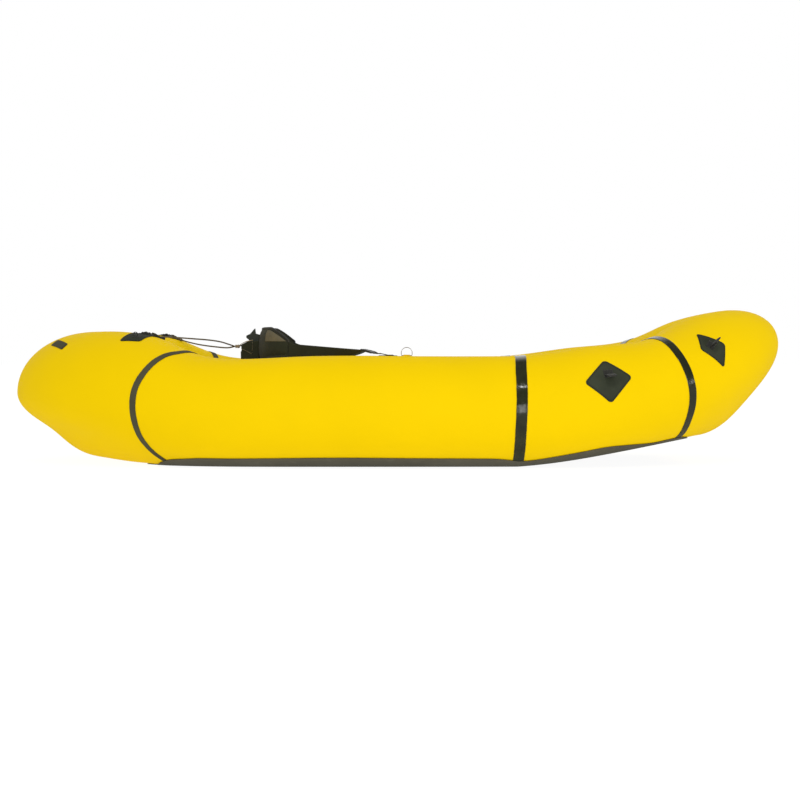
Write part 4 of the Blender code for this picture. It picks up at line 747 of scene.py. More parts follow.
def shell(name, outer, inner, slot, side=1, ring=False, values=None):
    """A closed sheet between two like grids of points, whose texture map holds real lengths along and across.

    Extra values are grids too, one number or vector for each point of both faces."""
    rows, columns = outer.shape[:2]
    spans = columns if ring else columns - 1
    wrap = np.concatenate((outer, outer[:, :1]), 1) if ring else outer
    lengths = np.stack((run_lengths(wrap, 0), run_lengths(wrap, 1)), -1)
    row, column = np.meshgrid(np.arange(rows - 1), np.arange(spans), indexing="ij")
    row, column = row.ravel(), column.ravel()

    def quads(layers, corners):
        ids = [layer * rows * columns + r * columns + c % columns for layer, (r, c) in zip(layers, corners)]
        places = [lengths[r, c] for r, c in corners]
        return np.stack(ids, 1), np.stack(places, 1)

    around_cell = ((row, column), (row, column + 1), (row + 1, column + 1), (row + 1, column))
    parts = [quads((0, 0, 0, 0), around_cell), quads((1, 1, 1, 1), around_cell[::-1])]
    ends = np.arange(spans)
    for edge, flip in ((0, True), (rows - 1, False)):
        rim = np.full(spans, edge)
        corners = ((rim, ends), (rim, ends + 1), (rim, ends + 1), (rim, ends))
        layers = (0, 0, 1, 1)
        parts.append(quads(layers[::-1], corners[::-1]) if flip else quads(layers, corners))
    if not ring:
        steps = np.arange(rows - 1)
        for edge, flip in ((0, False), (columns - 1, True)):
            rim = np.full(rows - 1, edge)
            corners = ((steps, rim), (steps + 1, rim), (steps + 1, rim), (steps, rim))
            layers = (0, 0, 1, 1)
            parts.append(quads(layers[::-1], corners[::-1]) if flip else quads(layers, corners))
    faces = np.concatenate([part[0] for part in parts])
    places = np.concatenate([part[1] for part in parts])
    points = np.concatenate((outer.reshape(-1, 3), inner.reshape(-1, 3)))
    flat = {}
    for key, grid in (values or {}).items():
        grid = np.asarray(grid, float)
        flat[key] = grid.reshape(-1, 3) if grid.ndim == 4 else grid.ravel()
    return solid(name, points, faces, slot, side, places, flat)


def faced(columns, rows, at):
    """The outer and the inner grid of a sheet, from a function that gives both points of a column and a row."""
    grid = np.array([[[tuple(point) for point in at(i, j)] for j in range(rows)] for i in range(columns)])
    return grid[:, :, 0], grid[:, :, 1]


def doubled(grid):
    """A grid of values for both faces of a sheet."""
    return np.stack((grid, grid))


def lathe(name, profile, place, slot, side=1, steps=96):
    """A closed profile of radius and height pairs spun about the frame's Z; a radius of zero is a pole."""
    points, rings = [], []
    for radius, height in profile:
        if radius == 0:
            rings.append([len(points)] * steps)
            points.append(place @ Vector((0, 0, height)))
            continue
        rings.append(list(range(len(points), len(points) + steps)))
        points += [place @ Vector((radius * cos(step * tau / steps), radius * sin(step * tau / steps), height))
                   for step in range(steps)]
    faces = []
    for near, far in zip(rings, rings[1:] + rings[:1]):
        for step in range(steps):
            after = (step + 1) % steps
            face = list(dict.fromkeys((near[step], near[after], far[after], far[step])))
            if len(face) > 2:
                faces.append(face)
    item = solid(name, points, faces, slot, side)
    item.data.set_sharp_from_angle(angle=radians(35))
    return item


def smooth_path(places, count):
    """Points evenly spread by parameter on one smooth curve through the given places."""
    places = [Vector(place) for place in places]
    last = len(places) - 1
    path = []
    for step in range(count):
        at = step * last / (count - 1)
        index = min(int(at), last - 1)
        t = at - index
        a, b = places[max(index - 1, 0)], places[index]
        c, d = places[index + 1], places[min(index + 2, last)]
        path.append((b * 2 + (c - a) * t + (a * 2 - b * 5 + c * 4 - d) * t * t
                     + (b * 3 - a - c * 3 + d) * t ** 3) / 2)
    return path


def route(name, path, sides, closed=False, side=1):
    """An object of edges along a path, each point with the way that the webbing's face or the thread points."""
    count = len(path)
    mesh = bpy.data.meshes.new(name)
    edges = [(i, (i + 1) % count) for i in range(count if closed else count - 1)]
    mesh.from_pydata([(p[0], p[1] * side, p[2]) for p in path], edges, [])
    if not isinstance(sides, (list, tuple)):
        sides = [sides] * count
    flat = np.array([(s[0], s[1] * side, s[2]) for s in sides], float)
    mesh.attributes.new("side", "FLOAT_VECTOR", "POINT").data.foreach_set("vector", flat.ravel())
    return linked(name, mesh)


def webbing(name, path, faces, width, side=1, closed=False):
    """Webbing along a path whose flat face points as given."""
    chosen = sizes()
    item = route(name, path, faces, closed, side)
    return grown(item, tree("webbing"), width=width, thickness=WEBBING_THICKNESS - 2 * chosen.rib_depth,
                 rib_pitch=chosen.rib_pitch, rib_depth=chosen.rib_depth, step=WEBBING_STEP,
                 material=MATERIALS["webbing"])


def cord(name, path, diameter, slot, side=1, closed=False, braid=0.05, step=0.0008):
    """A round cord along a path."""
    item = route(name, path, Vector((0, 0, 1)), closed, side)
    return grown(item, tree("cord"), diameter=diameter, braid_depth=diameter * braid,
                 braid_pitch=diameter * 1.1, step=step, material=MATERIALS[slot])


def stitches(name, path, faces, side=1):
    """A row of stitches along a path, which lie in a cloth whose way out is given."""
    chosen = sizes()
    item = route(name, path, faces, False, side)
    return grown(item, tree("stitches"), pitch=chosen.stitch_pitch, stitch=chosen.stitch_length,
                 thread=chosen.thread, material=MATERIALS["thread"])


def creased(item, depth, scale, seed, slot):
    """The piece with soft creases."""
    return grown(item, tree("creases"), depth=depth, scale=scale, seed=seed, material=MATERIALS[slot])


def joined(name, items):
    """Several pieces as one object, each keeping its material."""
    for item in bpy.context.selected_objects:
        item.select_set(False)
    for item in items:
        item.select_set(True)
    bpy.context.view_layer.objects.active = items[0]
    bpy.ops.object.join()
    items[0].name = name
    items[0].data.name = name
    items[0].select_set(False)
    return items[0]


def shown(item, body, slot, *nodes):
    """Lets a finished piece ride on its body and stand for CAD nodes; the slot it is given is not used."""
    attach(item, body)
    if nodes:
        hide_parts(*nodes)
    return item


def flat_faced(mesh):
    """A CAD node's mesh for editing, with each flat face in one piece."""
    work = bmesh.new()
    work.from_mesh(mesh)
    bmesh.ops.remove_doubles(work, verts=work.verts, dist=MOULD_MERGE)
    bmesh.ops.dissolve_limit(work, angle_limit=MOULD_FLAT, verts=work.verts, edges=work.edges)
    return work


def softened(name, slot, width, segments=3, body="hull"):
    """A copy of a CAD node with rounded edges, which stands for it."""
    mesh = frame["nodes"][name].data.copy()
    item = placed("moulded_" + name, mesh, slot)
    work = flat_faced(mesh)
    work.to_mesh(mesh)
    work.free()
    mesh.shade_smooth()
    mesh.set_sharp_from_angle(angle=radians(40))
    bevel = item.modifiers.new("rounded", "BEVEL")
    bevel.width = width
    bevel.segments = segments
    bevel.limit_method = "ANGLE"
    bevel.angle_limit = radians(30)
    bevel.harden_normals = False
    return shown(item, body, slot, name)


# The hull's surface

def ring_controls():
    """Control rows of one closed cubic spline through the stations and their starboard mirror images."""
    rows = []
    for x, y, facing, wide, crown, keel, rise, trim, lift, rake in STATION_SHARES:
        heading = radians(facing)
        rows.append((x * LENGTH / 2, y * WIDTH / 2, cos(heading), sin(heading), wide * TUBE_RADIUS,
                     crown * TUBE_RADIUS, keel * TUBE_RADIUS, rise * TUBE_RADIUS, trim, lift, rake))
    rows = np.array(rows)
    mirror = rows[-2:0:-1] * np.array((1, -1, 1, -1, 1, 1, 1, 1, 1, 1, 1))
    ring = np.vstack((rows, mirror))
    each = np.eye(len(ring))
    return np.linalg.solve((4 * each + np.roll(each, 1, 1) + np.roll(each, -1, 1)) / 6, ring)


RING = ring_controls()


def hull_points(stations, turns):
    """Points of the hull: a station runs round the raft, a turn goes from the tube's outside over its top."""
    stations, turns = np.broadcast_arrays(np.asarray(stations, float), np.asarray(turns, float))
    index = np.floor(stations).astype(int)
    t = stations - index
    weights = np.stack(((1 - t) ** 3, 3 * t ** 3 - 6 * t ** 2 + 4,
                        -3 * t ** 3 + 3 * t ** 2 + 3 * t + 1, t ** 3), -1)
    rows = RING[(index[..., None] - 1 + np.arange(4)) % len(RING)]
    values = (weights[..., None] * rows).sum(-2) / 6
    x, y, face_x, face_y, wide, crown, keel, rise, trim, lift, rake = np.moveaxis(values, -1, 0)
    size = np.hypot(face_x, face_y)
    face_x, face_y = face_x / size, face_y / size
    out, up = np.cos(turns), np.sin(turns)
    drawn = np.where((out > 0) & (up < 0), 1 - trim * np.sin(2 * turns) ** 2, 1)
    out, up = out * drawn, up * drawn
    across = wide * (out - 1)
    height = np.where(up > 0, crown, keel) * up
    back = np.where(face_y >= 0, -face_x, face_x)
    ground = FLOOR_SKIN + FLOOR_SEAT + np.maximum(rise - RISE_SLACK_SHARE * TUBE_RADIUS, 0)
    return np.stack((x + across * face_x - rake * height * np.abs(face_y),
                     y + across * face_y - rake * height * back, ground + keel + height + lift * wide * out), -1)


def hull_slopes(stations, turns):
    """How the surface runs for one station and for one radian of turn."""
    along = hull_points(stations + NUDGE_SHARE, turns) - hull_points(stations - NUDGE_SHARE, turns)
    around = hull_points(stations, turns + NUDGE_SHARE) - hull_points(stations, turns - NUDGE_SHARE)
    return along / (2 * NUDGE_SHARE), around / (2 * NUDGE_SHARE)


def hull_lifted(stations, turns, lift=0.0):
    """Points at a height over the surface, and the ways out of it."""
    along, around = hull_slopes(stations, turns)
    out = np.cross(around, along)
    out /= np.linalg.norm(out, axis=-1, keepdims=True)
    return hull_points(stations, turns) + out * np.asarray(lift)[..., None], out


def shifted(station, turns, distance):
    """Stations at a distance past a station, measured on the surface at each turn."""
    along, _ = hull_slopes(station, turns)
    return station + distance / np.linalg.norm(along, axis=-1)


def seam_line(name, turns):
    """The station of a seam at each turn round the tube, with its corners eased."""
    places, stations = np.array(SEAM_LINES[name], float).T
    offsets = np.linspace(-SEAM_SOFTNESS, SEAM_SOFTNESS, 9)
    return np.mean([np.interp(np.asarray(turns) + offset, np.radians(places), stations, period=tau)
                    for offset in offsets], 0)


def hull_row_count(first, last):
    line = hull_points(np.linspace(first.min(), last.max(), 80), 0.0)
    return int(np.linalg.norm(np.diff(line, axis=0), axis=1).sum() / HULL_ROW)


def surface_frame(station, turn, heading=0.0):
    """A frame on the surface: X along the tube, turned by the heading, and Z straight out."""
    along, around = (Vector(slope) for slope in hull_slopes(station, turn))
    out = around.cross(along).normalized()
    ahead = Matrix.Rotation(heading, 3, out) @ along.normalized()
    made = Matrix((ahead, out.cross(ahead), out)).transposed().to_4x4()
    made.translation = Vector(hull_points(station, turn))
    return made


def way(place, axis=2):
    """The way that an axis of a frame points."""
    return place.to_3x3().col[axis]


def facet_tree():
    """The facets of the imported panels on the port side, on which the fittings are seated."""
    points, faces = [], []
    for name in ("hull_stern", "hull_side_left", "hull_front_left", "hull_bow"):
        mesh = frame["nodes"][name].data
        faces += [[len(points) + corner for corner in face.vertices] for face in mesh.polygons]
        points += [corner.co.copy() for corner in mesh.vertices]
    return BVHTree.FromPolygons(points, faces)


def smooth_tree(rows=480, columns=144):
    """The smooth hull as facets fine enough to lay cloth on."""
    stations = np.arange(rows)[:, None] * 2 * BOW_STATION / rows
    grid = hull_points(stations, np.arange(columns)[None] * tau / columns)
    faces = [(r * columns + c, r * columns + (c + 1) % columns, ((r + 1) % rows) * columns + (c + 1) % columns,
              ((r + 1) % rows) * columns + c) for r in range(rows) for c in range(columns)]
    return BVHTree.FromPolygons(grid.reshape(-1, 3).tolist(), faces)


FACETS = facet_tree()
SMOOTH = smooth_tree()


def dropped(place, out, lift, surface=None):
    """A point at a height over the hull, straight under or over a place."""
    return (surface or FACETS).ray_cast(place + out * PROBE_REACH, -out)[0] + out * lift


def seated(station, turn, lift):
    return dropped(Vector(hull_points(station, turn)), way(surface_frame(station, turn)), lift)


def seat_frame(station, turn, lift, heading=0.0):
    """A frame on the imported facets, as the fittings have it."""
    made = surface_frame(station, turn, heading)
    made.translation = seated(station, turn, lift)
    return made


# Hull, tapes and floor

def hull_panel(name, ends, side, seed):
    """A panel of the coated fabric between two seams, drawn in a little beside them."""
    turns = np.arange(HULL_COLUMNS) * tau / HULL_COLUMNS
    first, last = (end(turns) for end in ends)
    count = hull_row_count(first, last)
    even = np.linspace(0, 1, count)
    shares = (0.45 * even + 0.55 * (1 - np.cos(pi * even)) / 2)[:, None]
    start, end = shifted(first, turns, CLEAR / 2), shifted(last, turns, -CLEAR / 2)
    stations = start + (end - start) * shares
    outer, out = hull_lifted(stations, np.broadcast_to(turns, stations.shape))
    inner = outer - out * SKIN
    run = run_lengths(outer, 0)
    seam = np.minimum(run, run[-1] - run)
    step = np.linalg.norm(outer - np.roll(outer, 1, 1), axis=2)
    around = step.cumsum(1)
    item = shell(name, outer, inner, "yellow_fabric", side, ring=True,
                 values={"out": doubled(out), "seam": doubled(seam), "around": doubled(around)})
    chosen = sizes()
    return grown(item, tree("puckers"), depth=chosen.pucker_depth, reach=chosen.pucker_reach,
                 spacing=chosen.pucker_spacing, seed=seed, material=MATERIALS["yellow_fabric"])


def valve_hole(panel):
    """Cuts the hole for the valve's neck."""
    tool = lathe("valve_hole", [(0, -PROBE_REACH), (VALVE_BODY_RADIUS + CLEAR, -PROBE_REACH),
                                (VALVE_BODY_RADIUS + CLEAR, PROBE_REACH), (0, PROBE_REACH)],
                 surface_frame(VALVE_STATION, VALVE_TURN), "yellow_fabric")
    cut = panel.modifiers.new("hole", "BOOLEAN")
    cut.object = tool
    cut.solver = "MANIFOLD"
    baked(panel, cut)
    bpy.data.objects.remove(tool)


def tape_strip(name, side, seed):
    """The welded tape over a seam, with edges that waver a little and ends that run out."""
    width, slot = TAPES[name]
    glossy = slot == "gloss_tape"
    rows = TAPE_ROWS[slot]
    first, last = TAPE_SPAN
    shares = np.sin(np.linspace(-1, 1, rows) * pi / 2 * 0.86) / sin(pi / 2 * 0.86)
    turns = np.linspace(first, last, int((last - first) * TUBE_RADIUS / TAPE_COLUMN))
    waver = TAPE_WAVER * (np.sin(turns * 17 + seed) + 0.6 * np.sin(turns * 41 + 2 * seed))
    end_run = np.minimum(np.abs(turns - first), np.abs(last - turns)) * TUBE_RADIUS
    full = np.clip(end_run / (width * 0.5) + 0.25, 0, 1) ** 0.5
    shift = shares[:, None] * (width / 2 - TAPE_ROUNDING + waver) * full
    seam = seam_line(name, turns)
    along, _ = hull_slopes(seam, turns)
    reach = np.linalg.norm(along, axis=-1)
    slant = np.gradient(seam, turns) * reach / TUBE_RADIUS
    stations = seam + shift * np.minimum(np.hypot(1, slant), TAPE_SLANT) / reach
    grid_turns = np.broadcast_to(turns, stations.shape)
    thick = TAPE_LIFT * (1 - 0.45 * np.abs(shares[:, None]) ** 14) + 0 * grid_turns
    outer, out = hull_lifted(stations, grid_turns, thick)
    inner, _ = hull_lifted(stations, grid_turns, CLEAR / 2)
    run = np.broadcast_to(turns * TUBE_RADIUS, stations.shape)
    edge = np.broadcast_to(np.abs(shares[:, None]), stations.shape)
    item = shell("strip", outer, inner, slot, side, values={
        "out": doubled(out), "across": doubled(shift), "along": doubled(run), "edge": doubled(edge),
        "face": np.stack((np.ones_like(run), np.zeros_like(run)))})
    chosen = sizes()
    return grown(item, tree("ridges"), pitch=chosen.ridge_pitch if glossy else width,
                 depth=chosen.ridge_depth if glossy else 0.00004, pebble=0.00022 if glossy else 0.00012,
                 grain=420.0 if glossy else 160.0, seed=seed, material=MATERIALS[slot])


def lowest_heights(stations):
    """The tube's lowest height at each station."""
    turns = np.radians(np.arange(-180, -60, 1.0))
    return hull_points(np.asarray(stations)[:, None], turns[None])[..., 2].min(1)


def floor_sheet():
    """The heavy floor: flat under the cockpit, and wrapped up the outside of the tubes."""
    stations = np.linspace(FLOOR_FIRST, FLOOR_LAST, FLOOR_ROWS)
    wrap = np.radians(np.interp(stations, *np.array(FLOOR_WRAPS, float).T))
    wrap = np.convolve(np.pad(wrap, 4, "edge"), np.ones(9) / 9, "valid")
    lowest = lowest_heights(stations)
    fade = np.clip(np.minimum(stations - FLOOR_FIRST, FLOOR_LAST - stations) / FLOOR_FADE, 0, 1)[:, None]
    grids = []
    for lift in (FLOOR_SEAT + FLOOR_SKIN, FLOOR_SEAT):
        steps = np.linspace(1, 0, FLOOR_WRAP_COLUMNS, endpoint=False)
        turns = wrap[:, None] * steps[None] - pi / 2
        grid, _ = hull_lifted(np.broadcast_to(stations[:, None], turns.shape), turns,
                              np.full(turns.shape, lift))
        keel, _ = hull_lifted(stations, np.full_like(stations, -pi / 2))
        keel = np.stack((keel[:, 0], keel[:, 1], lowest - lift), -1)
        across = np.linspace(1, -1, FLOOR_SPAN_COLUMNS)[None, :, None]
        span = keel[:, None] * np.array((1, 0, 1)) + keel[:, None] * across * np.array((0, 1, 0))
        clear = np.clip(1 - np.abs(across[..., 0]) ** 8, 0, 1)
        x, y = span[..., 0], span[..., 1]
        away = np.maximum(SEAT_REAR - FLOOR_CALM - x, x - SEAT_FRONT - FLOOR_CALM) / FLOOR_CALM_REACH
        wave = 0.5 + 0.5 * np.sin(x * 31 + 2.1 * np.sin(y * 24)) * np.sin(y * 27 + 1)
        span[..., 2] += FLOOR_WAVE * clear * np.clip(away, 0, 1) * wave * fade
        grids.append(np.concatenate((grid, span, (grid * np.array((1, -1, 1)))[:, ::-1]), 1))
    return shell("tub_floor", *grids, "floor_fabric")


def rounded_square(size, angle):
    """A point of a square with rounded corners and the given half side."""
    c, s = abs(cos(angle)), abs(sin(angle))
    straight = 1 / max(c, s)
    corner = PATCH_CORNER_SHARE
    inner = 1 - corner
    b = inner * (c + s)
    bend = b + max(b * b - (2 * inner * inner - corner * corner), 0) ** 0.5
    reach = min(straight, bend) if min(c, s) / max(c, s) > inner else straight
    return size * reach * cos(angle), size * reach * sin(angle)


def corner_patch(name, corners, slot, side):
    """A round-cornered patch laid on the hull between four corners, with a welded border."""
    places = [Vector(hull_points(station, radians(turn))) for station, turn in corners]
    out = (places[2] - places[0]).cross(places[3] - places[1]).normalized()
    middle = sum(places, Vector()) / 4
    facing = way(surface_frame(*mean_corner(corners))).dot(out)
    if facing < 0 or SMOOTH.find_nearest(middle)[0].dot(out) < middle.dot(out) - PROBE_REACH:
        out = -out
    spaced = np.sin(np.linspace(-1, 1, PATCH_CELLS + 1) * pi / 2)
    edge = np.maximum(np.abs(spaced)[:, None], np.abs(spaced)[None])

    def at(i, j):
        size = edge[i, j]
        x, y = rounded_square(size, np.arctan2(spaced[j], spaced[i]))
        u, v = (x + 1) / 2, (y + 1) / 2
        start = places[0].lerp(places[1], u).lerp(places[3].lerp(places[2], u), v)
        found, normal, _, _ = SMOOTH.ray_cast(start + out * 2 * PROBE_REACH, -out)
        if normal.dot(out) < 0:
            normal = -normal
        weld = PATCH_WELD_DEPTH * exp(-((size - PATCH_WELD_SHARE) / 0.025) ** 2)
        rise = CLOTH_THICKNESS * (1 - 0.5 * size ** 20) - weld
        return found + normal * (CLEAR + rise), found + normal * CLEAR

    outer, inner = faced(PATCH_CELLS + 1, PATCH_CELLS + 1, at)
    return shell(name, outer, inner, slot, side, values={"edge": doubled(edge)})


def mean_corner(corners):
    """The station and the turn in the middle of a patch."""
    return sum(corner[0] for corner in corners) / 4, radians(sum(corner[1] for corner in corners) / 4)


def small_patch(name, station, turn, half_along, half_around, slot, side):
    """A small rectangular patch along the tube."""
    along, around = (np.linalg.norm(slope) for slope in hull_slopes(station, turn))
    step, rise = half_along / along, np.degrees(half_around / around)
    middle = np.degrees(turn)
    corners = [(station + x * step, middle + y * rise) for x, y in ((-1, 1), (1, 1), (1, -1), (-1, -1))]
    return corner_patch(name, corners, slot, side)


# Operators

class RaftOperator:
    """What the raft's operators share."""
    bl_options = {"REGISTER", "UNDO"}

    def execute(self, context):
        self.make(context)
        return {"FINISHED"}


class RAFT_OT_stage(RaftOperator, bpy.types.Operator):
    """Adds the camera, the lamps, the floor and the pale surroundings"""
    bl_idname = "raft.stage"
    bl_label = "Stage"

    def make(self, context):
        scene = context.scene
        scene.view_settings.view_transform = "Standard"
        camera = linked("camera", bpy.data.cameras.new("camera"))
        camera.location = CAMERA_PLACE
        camera.rotation_euler = (pi / 2, 0, 0)
        camera.data.lens = CAMERA_LENS
        camera.data.shift_y = CAMERA_SHIFT
        scene.camera = camera
        for name, (place, size, power) in LAMPS.items():
            lamp = bpy.data.lights.new(name, "AREA")
            lamp.size = size
            lamp.energy = power
            item = linked(name, lamp)
            item.location = place
            item.rotation_euler = (Vector(LAMP_AIM) - Vector(place)).to_track_quat("-Z", "Y").to_euler()
        self.surroundings(scene)
        self.ground()

    def surroundings(self, scene):
        """White where the camera looks, dim in reflections, and a plain level for the light on the raft."""
        world = bpy.data.worlds.new("surroundings")
        scene.world = world
        world.use_nodes = True
        made = world.node_tree
        rays = node(made, "ShaderNodeLightPath").node
        seen = maths(made, "MAXIMUM", rays.outputs["Is Camera Ray"], rays.outputs["Is Transmission Ray"])
        way = node(made, "ShaderNodeTexCoord", output="Generated")
        way = node(made, "ShaderNodeSeparateXYZ", {"Vector": way}).node
        behind = spread_values(made, way.outputs["Y"], MIRRORED_LEVEL, 1.0, *BACKDROP_EDGES)
        level = spread_values(made, rays.outputs["Is Glossy Ray"], SKY_LEVEL, behind, 0, 1)
        level = maths(made, "MAXIMUM", level, seen)
        made.nodes["Background"].inputs["Color"].default_value = (1, 1, 1, 1)
        made.links.new(level, made.nodes["Background"].inputs["Strength"])

    def ground(self):
        """A plain white floor that shows the raft's shadow faintly."""
        mesh = bpy.data.meshes.new("ground")
        reach = FLOOR_HALF_SIZE
        mesh.from_pydata([(-reach, -reach, 0), (reach, -reach, 0), (reach, reach, 0), (-reach, reach, 0)], [],
                         [(0, 1, 2, 3)])
        material = bpy.data.materials.new("plain_floor")
        material.use_nodes = True
        made = material.node_tree
        made.nodes.clear()
        rays = node(made, "ShaderNodeLightPath").node
        glow = node(made, "ShaderNodeEmission", {"Strength": FLOOR_GLOW})
        faint = node(made, "ShaderNodeBsdfDiffuse", {"Color": (*(FLOOR_SHADE_SHARE,) * 3, 1)})
        seen = node(made, "ShaderNodeAddShader", {0: glow, 1: faint})
        level = spread_values(made, rays.outputs["Is Glossy Ray"], FLOOR_LIGHT, MIRRORED_LEVEL, 0, 1)
        lit = node(made, "ShaderNodeEmission", {"Strength": level})
        plain = node(made, "ShaderNodeBsdfDiffuse", {"Color": (*(FLOOR_TONE,) * 3, 1)})
        plain = node(made, "ShaderNodeAddShader", {0: lit, 1: plain})
        mixed = node(made, "ShaderNodeMixShader", {0: rays.outputs["Is Camera Ray"], 1: plain, 2: seen})
        node(made, "ShaderNodeOutputMaterial", {"Surface": mixed})
        mesh.materials.append(material)
        item = linked("ground", mesh)
        item.location.z = -GROUND_GAP


class RAFT_OT_shock_cords(RaftOperator, bpy.types.Operator):
    """Adds the two shock cords from the stern buckles to the backrest's hook"""
    bl_idname = "raft.shock_cords"
    bl_label = "Shock cords"

    def make(self, context):
        for label, places in CORD_ROUTES.items():
            path = smooth_path(places, CORD_POINTS)
            item = cord("shock_cord_" + label, path, CORD_DIAMETER, "cord_sheath")
            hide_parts("stern_cord_" + label)
            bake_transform(item)


class RAFT_OT_hull(RaftOperator, bpy.types.Operator):
    """Adds the six panels of the air-filled hull"""
    bl_idname = "raft.hull"
    bl_label = "Hull"

    def make(self, context):
        stern, mid, bow = (lambda turns, name=name: seam_line(name, turns) for name in TAPES)
        panels = [("hull_stern", "stern_panel", (lambda turns: -stern(turns), stern), 1),
                  ("hull_bow", "bow_panel", (bow, lambda turns: 2 * BOW_STATION - bow(turns)), 1)]
        for label, side in SIDES:
            panels.append(("hull_side_" + label, "side_panel_" + label, (stern, mid), side))
            panels.append(("hull_front_" + label, "front_panel_" + label, (mid, bow), side))
        for seed, (cad_node, name, ends, side) in enumerate(panels):
            item = hull_panel(name, ends, side, 3.7 * seed)
            if cad_node == "hull_side_left":
                valve_hole(item)
            shown(item, "hull", "yellow_fabric", cad_node)


class RAFT_OT_tapes(RaftOperator, bpy.types.Operator):
    """Adds the welded tapes over the seams"""
    bl_idname = "raft.tapes"
    bl_label = "Seam tapes"

    def make(self, context):
        for place, name in enumerate(TAPES):
            for label, side in SIDES:
                item = tape_strip(name, side, 1.3 * place + 0.4 * side)
                item.name = "welded_tape_" + name + "_" + label
                shown(item, "hull", TAPES[name][1], "seam_tape_" + name + "_" + label)


class RAFT_OT_floor(RaftOperator, bpy.types.Operator):
    """Adds the heavy floor fabric"""
    bl_idname = "raft.floor"
    bl_label = "Floor"

    def make(self, context):
        item = shown(floor_sheet(), "hull", "floor_fabric", "floor_sheet")


class RAFT_OT_patches(RaftOperator, bpy.types.Operator):
    """Adds the reinforcement patches"""
    bl_idname = "raft.patches"
    bl_label = "Patches"

    def make(self, context):
        for label, side in SIDES:
            for name, (corners, slot) in PATCHES.items():
                item = corner_patch("welded_" + name + "_" + label, corners, slot, side)
                shown(item, "hull", slot, name + "_" + label)


class RAFT_OT_loops(RaftOperator, bpy.types.Operator):
    """Adds the webbing loops on the front and bow patches"""
    bl_idname = "raft.loops"
    bl_label = "Webbing loops"

    def make(self, context):
        for name in LOOPS:
            for label, side in SIDES:
                self.loop(name, label, side)

    def loop(self, name, label, side):
        """A flat loop of webbing, and its sewn base on the patch."""
        station, turn, heading, dip = LOOPS[name]
        place = seat_frame(station, radians(turn), PATCH_SEAT + PATCH_THICKNESS + 3 * CLEAR, radians(heading))
        lean = Matrix.Rotation(radians(dip), 4, "Y")

        def oval(inset, steps):
            return [Vector((LOOP_LENGTH / 2 - (LOOP_LENGTH / 2 - inset) * cos(step * tau / steps), 0,
                            LOOP_HEIGHT / 2 + (LOOP_HEIGHT / 2 - inset) * sin(step * tau / steps)))
                    for step in range(steps)]

        low = min((lean @ point).z for point in oval(0, 14))
        base = place.copy()
        place = place @ Matrix.Translation((0, 0, LOOP_ROOM - low)) @ lean
        ring = oval(WEBBING_THICKNESS / 2, LOOP_STEPS)
        path = [place @ point for point in ring]
        faces = [(place.to_3x3() @ Vector((point.x - LOOP_LENGTH / 2, 0, (point.z - LOOP_HEIGHT / 2)
                                           * (LOOP_LENGTH / LOOP_HEIGHT) ** 2))).normalized() for point in ring]
        item = webbing("webbing_" + name + "_" + label, path, faces, LOOP_WIDTH, side=side, closed=True)
        shown(item, name + "_" + label, "webbing", name + "_" + label)
        out = way(base)
        cells = LOOP_TAB_CELLS
        reach_x, reach_y = (LOOP_BASE_HALF * share for share in LOOP_TAB_SHARES)

        def at(i, j):
            x, y = (2 * step / cells - 1 for step in (i, j))
            start = base @ Vector((x * reach_x - LOOP_TAB_SHIFT, y * reach_y, 0))
            found = SMOOTH.ray_cast(start + out * PROBE_REACH, -out)[0] + out * (CLEAR + CLOTH_THICKNESS)
            return found + out * LOOP_TAB, found

        outer, inner = faced(cells + 1, cells + 1, at)
        tab = shell("loop_tab", outer, inner, "webbing", side)
        seat = out * THREAD_SEAT
        corners = [Vector(outer[i, j]) for i, j in ((1, 1), (1, -2), (-2, -2), (-2, 1), (1, 1), (-2, -2))]
        line = [a.lerp(b, step / 8) + seat for a, b in zip(corners, corners[1:]) for step in range(8)]
        line.append(corners[-1] + seat)
        sewn = stitches("loop_sewing", line, out, side)
        shown(joined("sewn_" + name + "_tab_" + label, [tab, sewn]), "hull", "webbing")


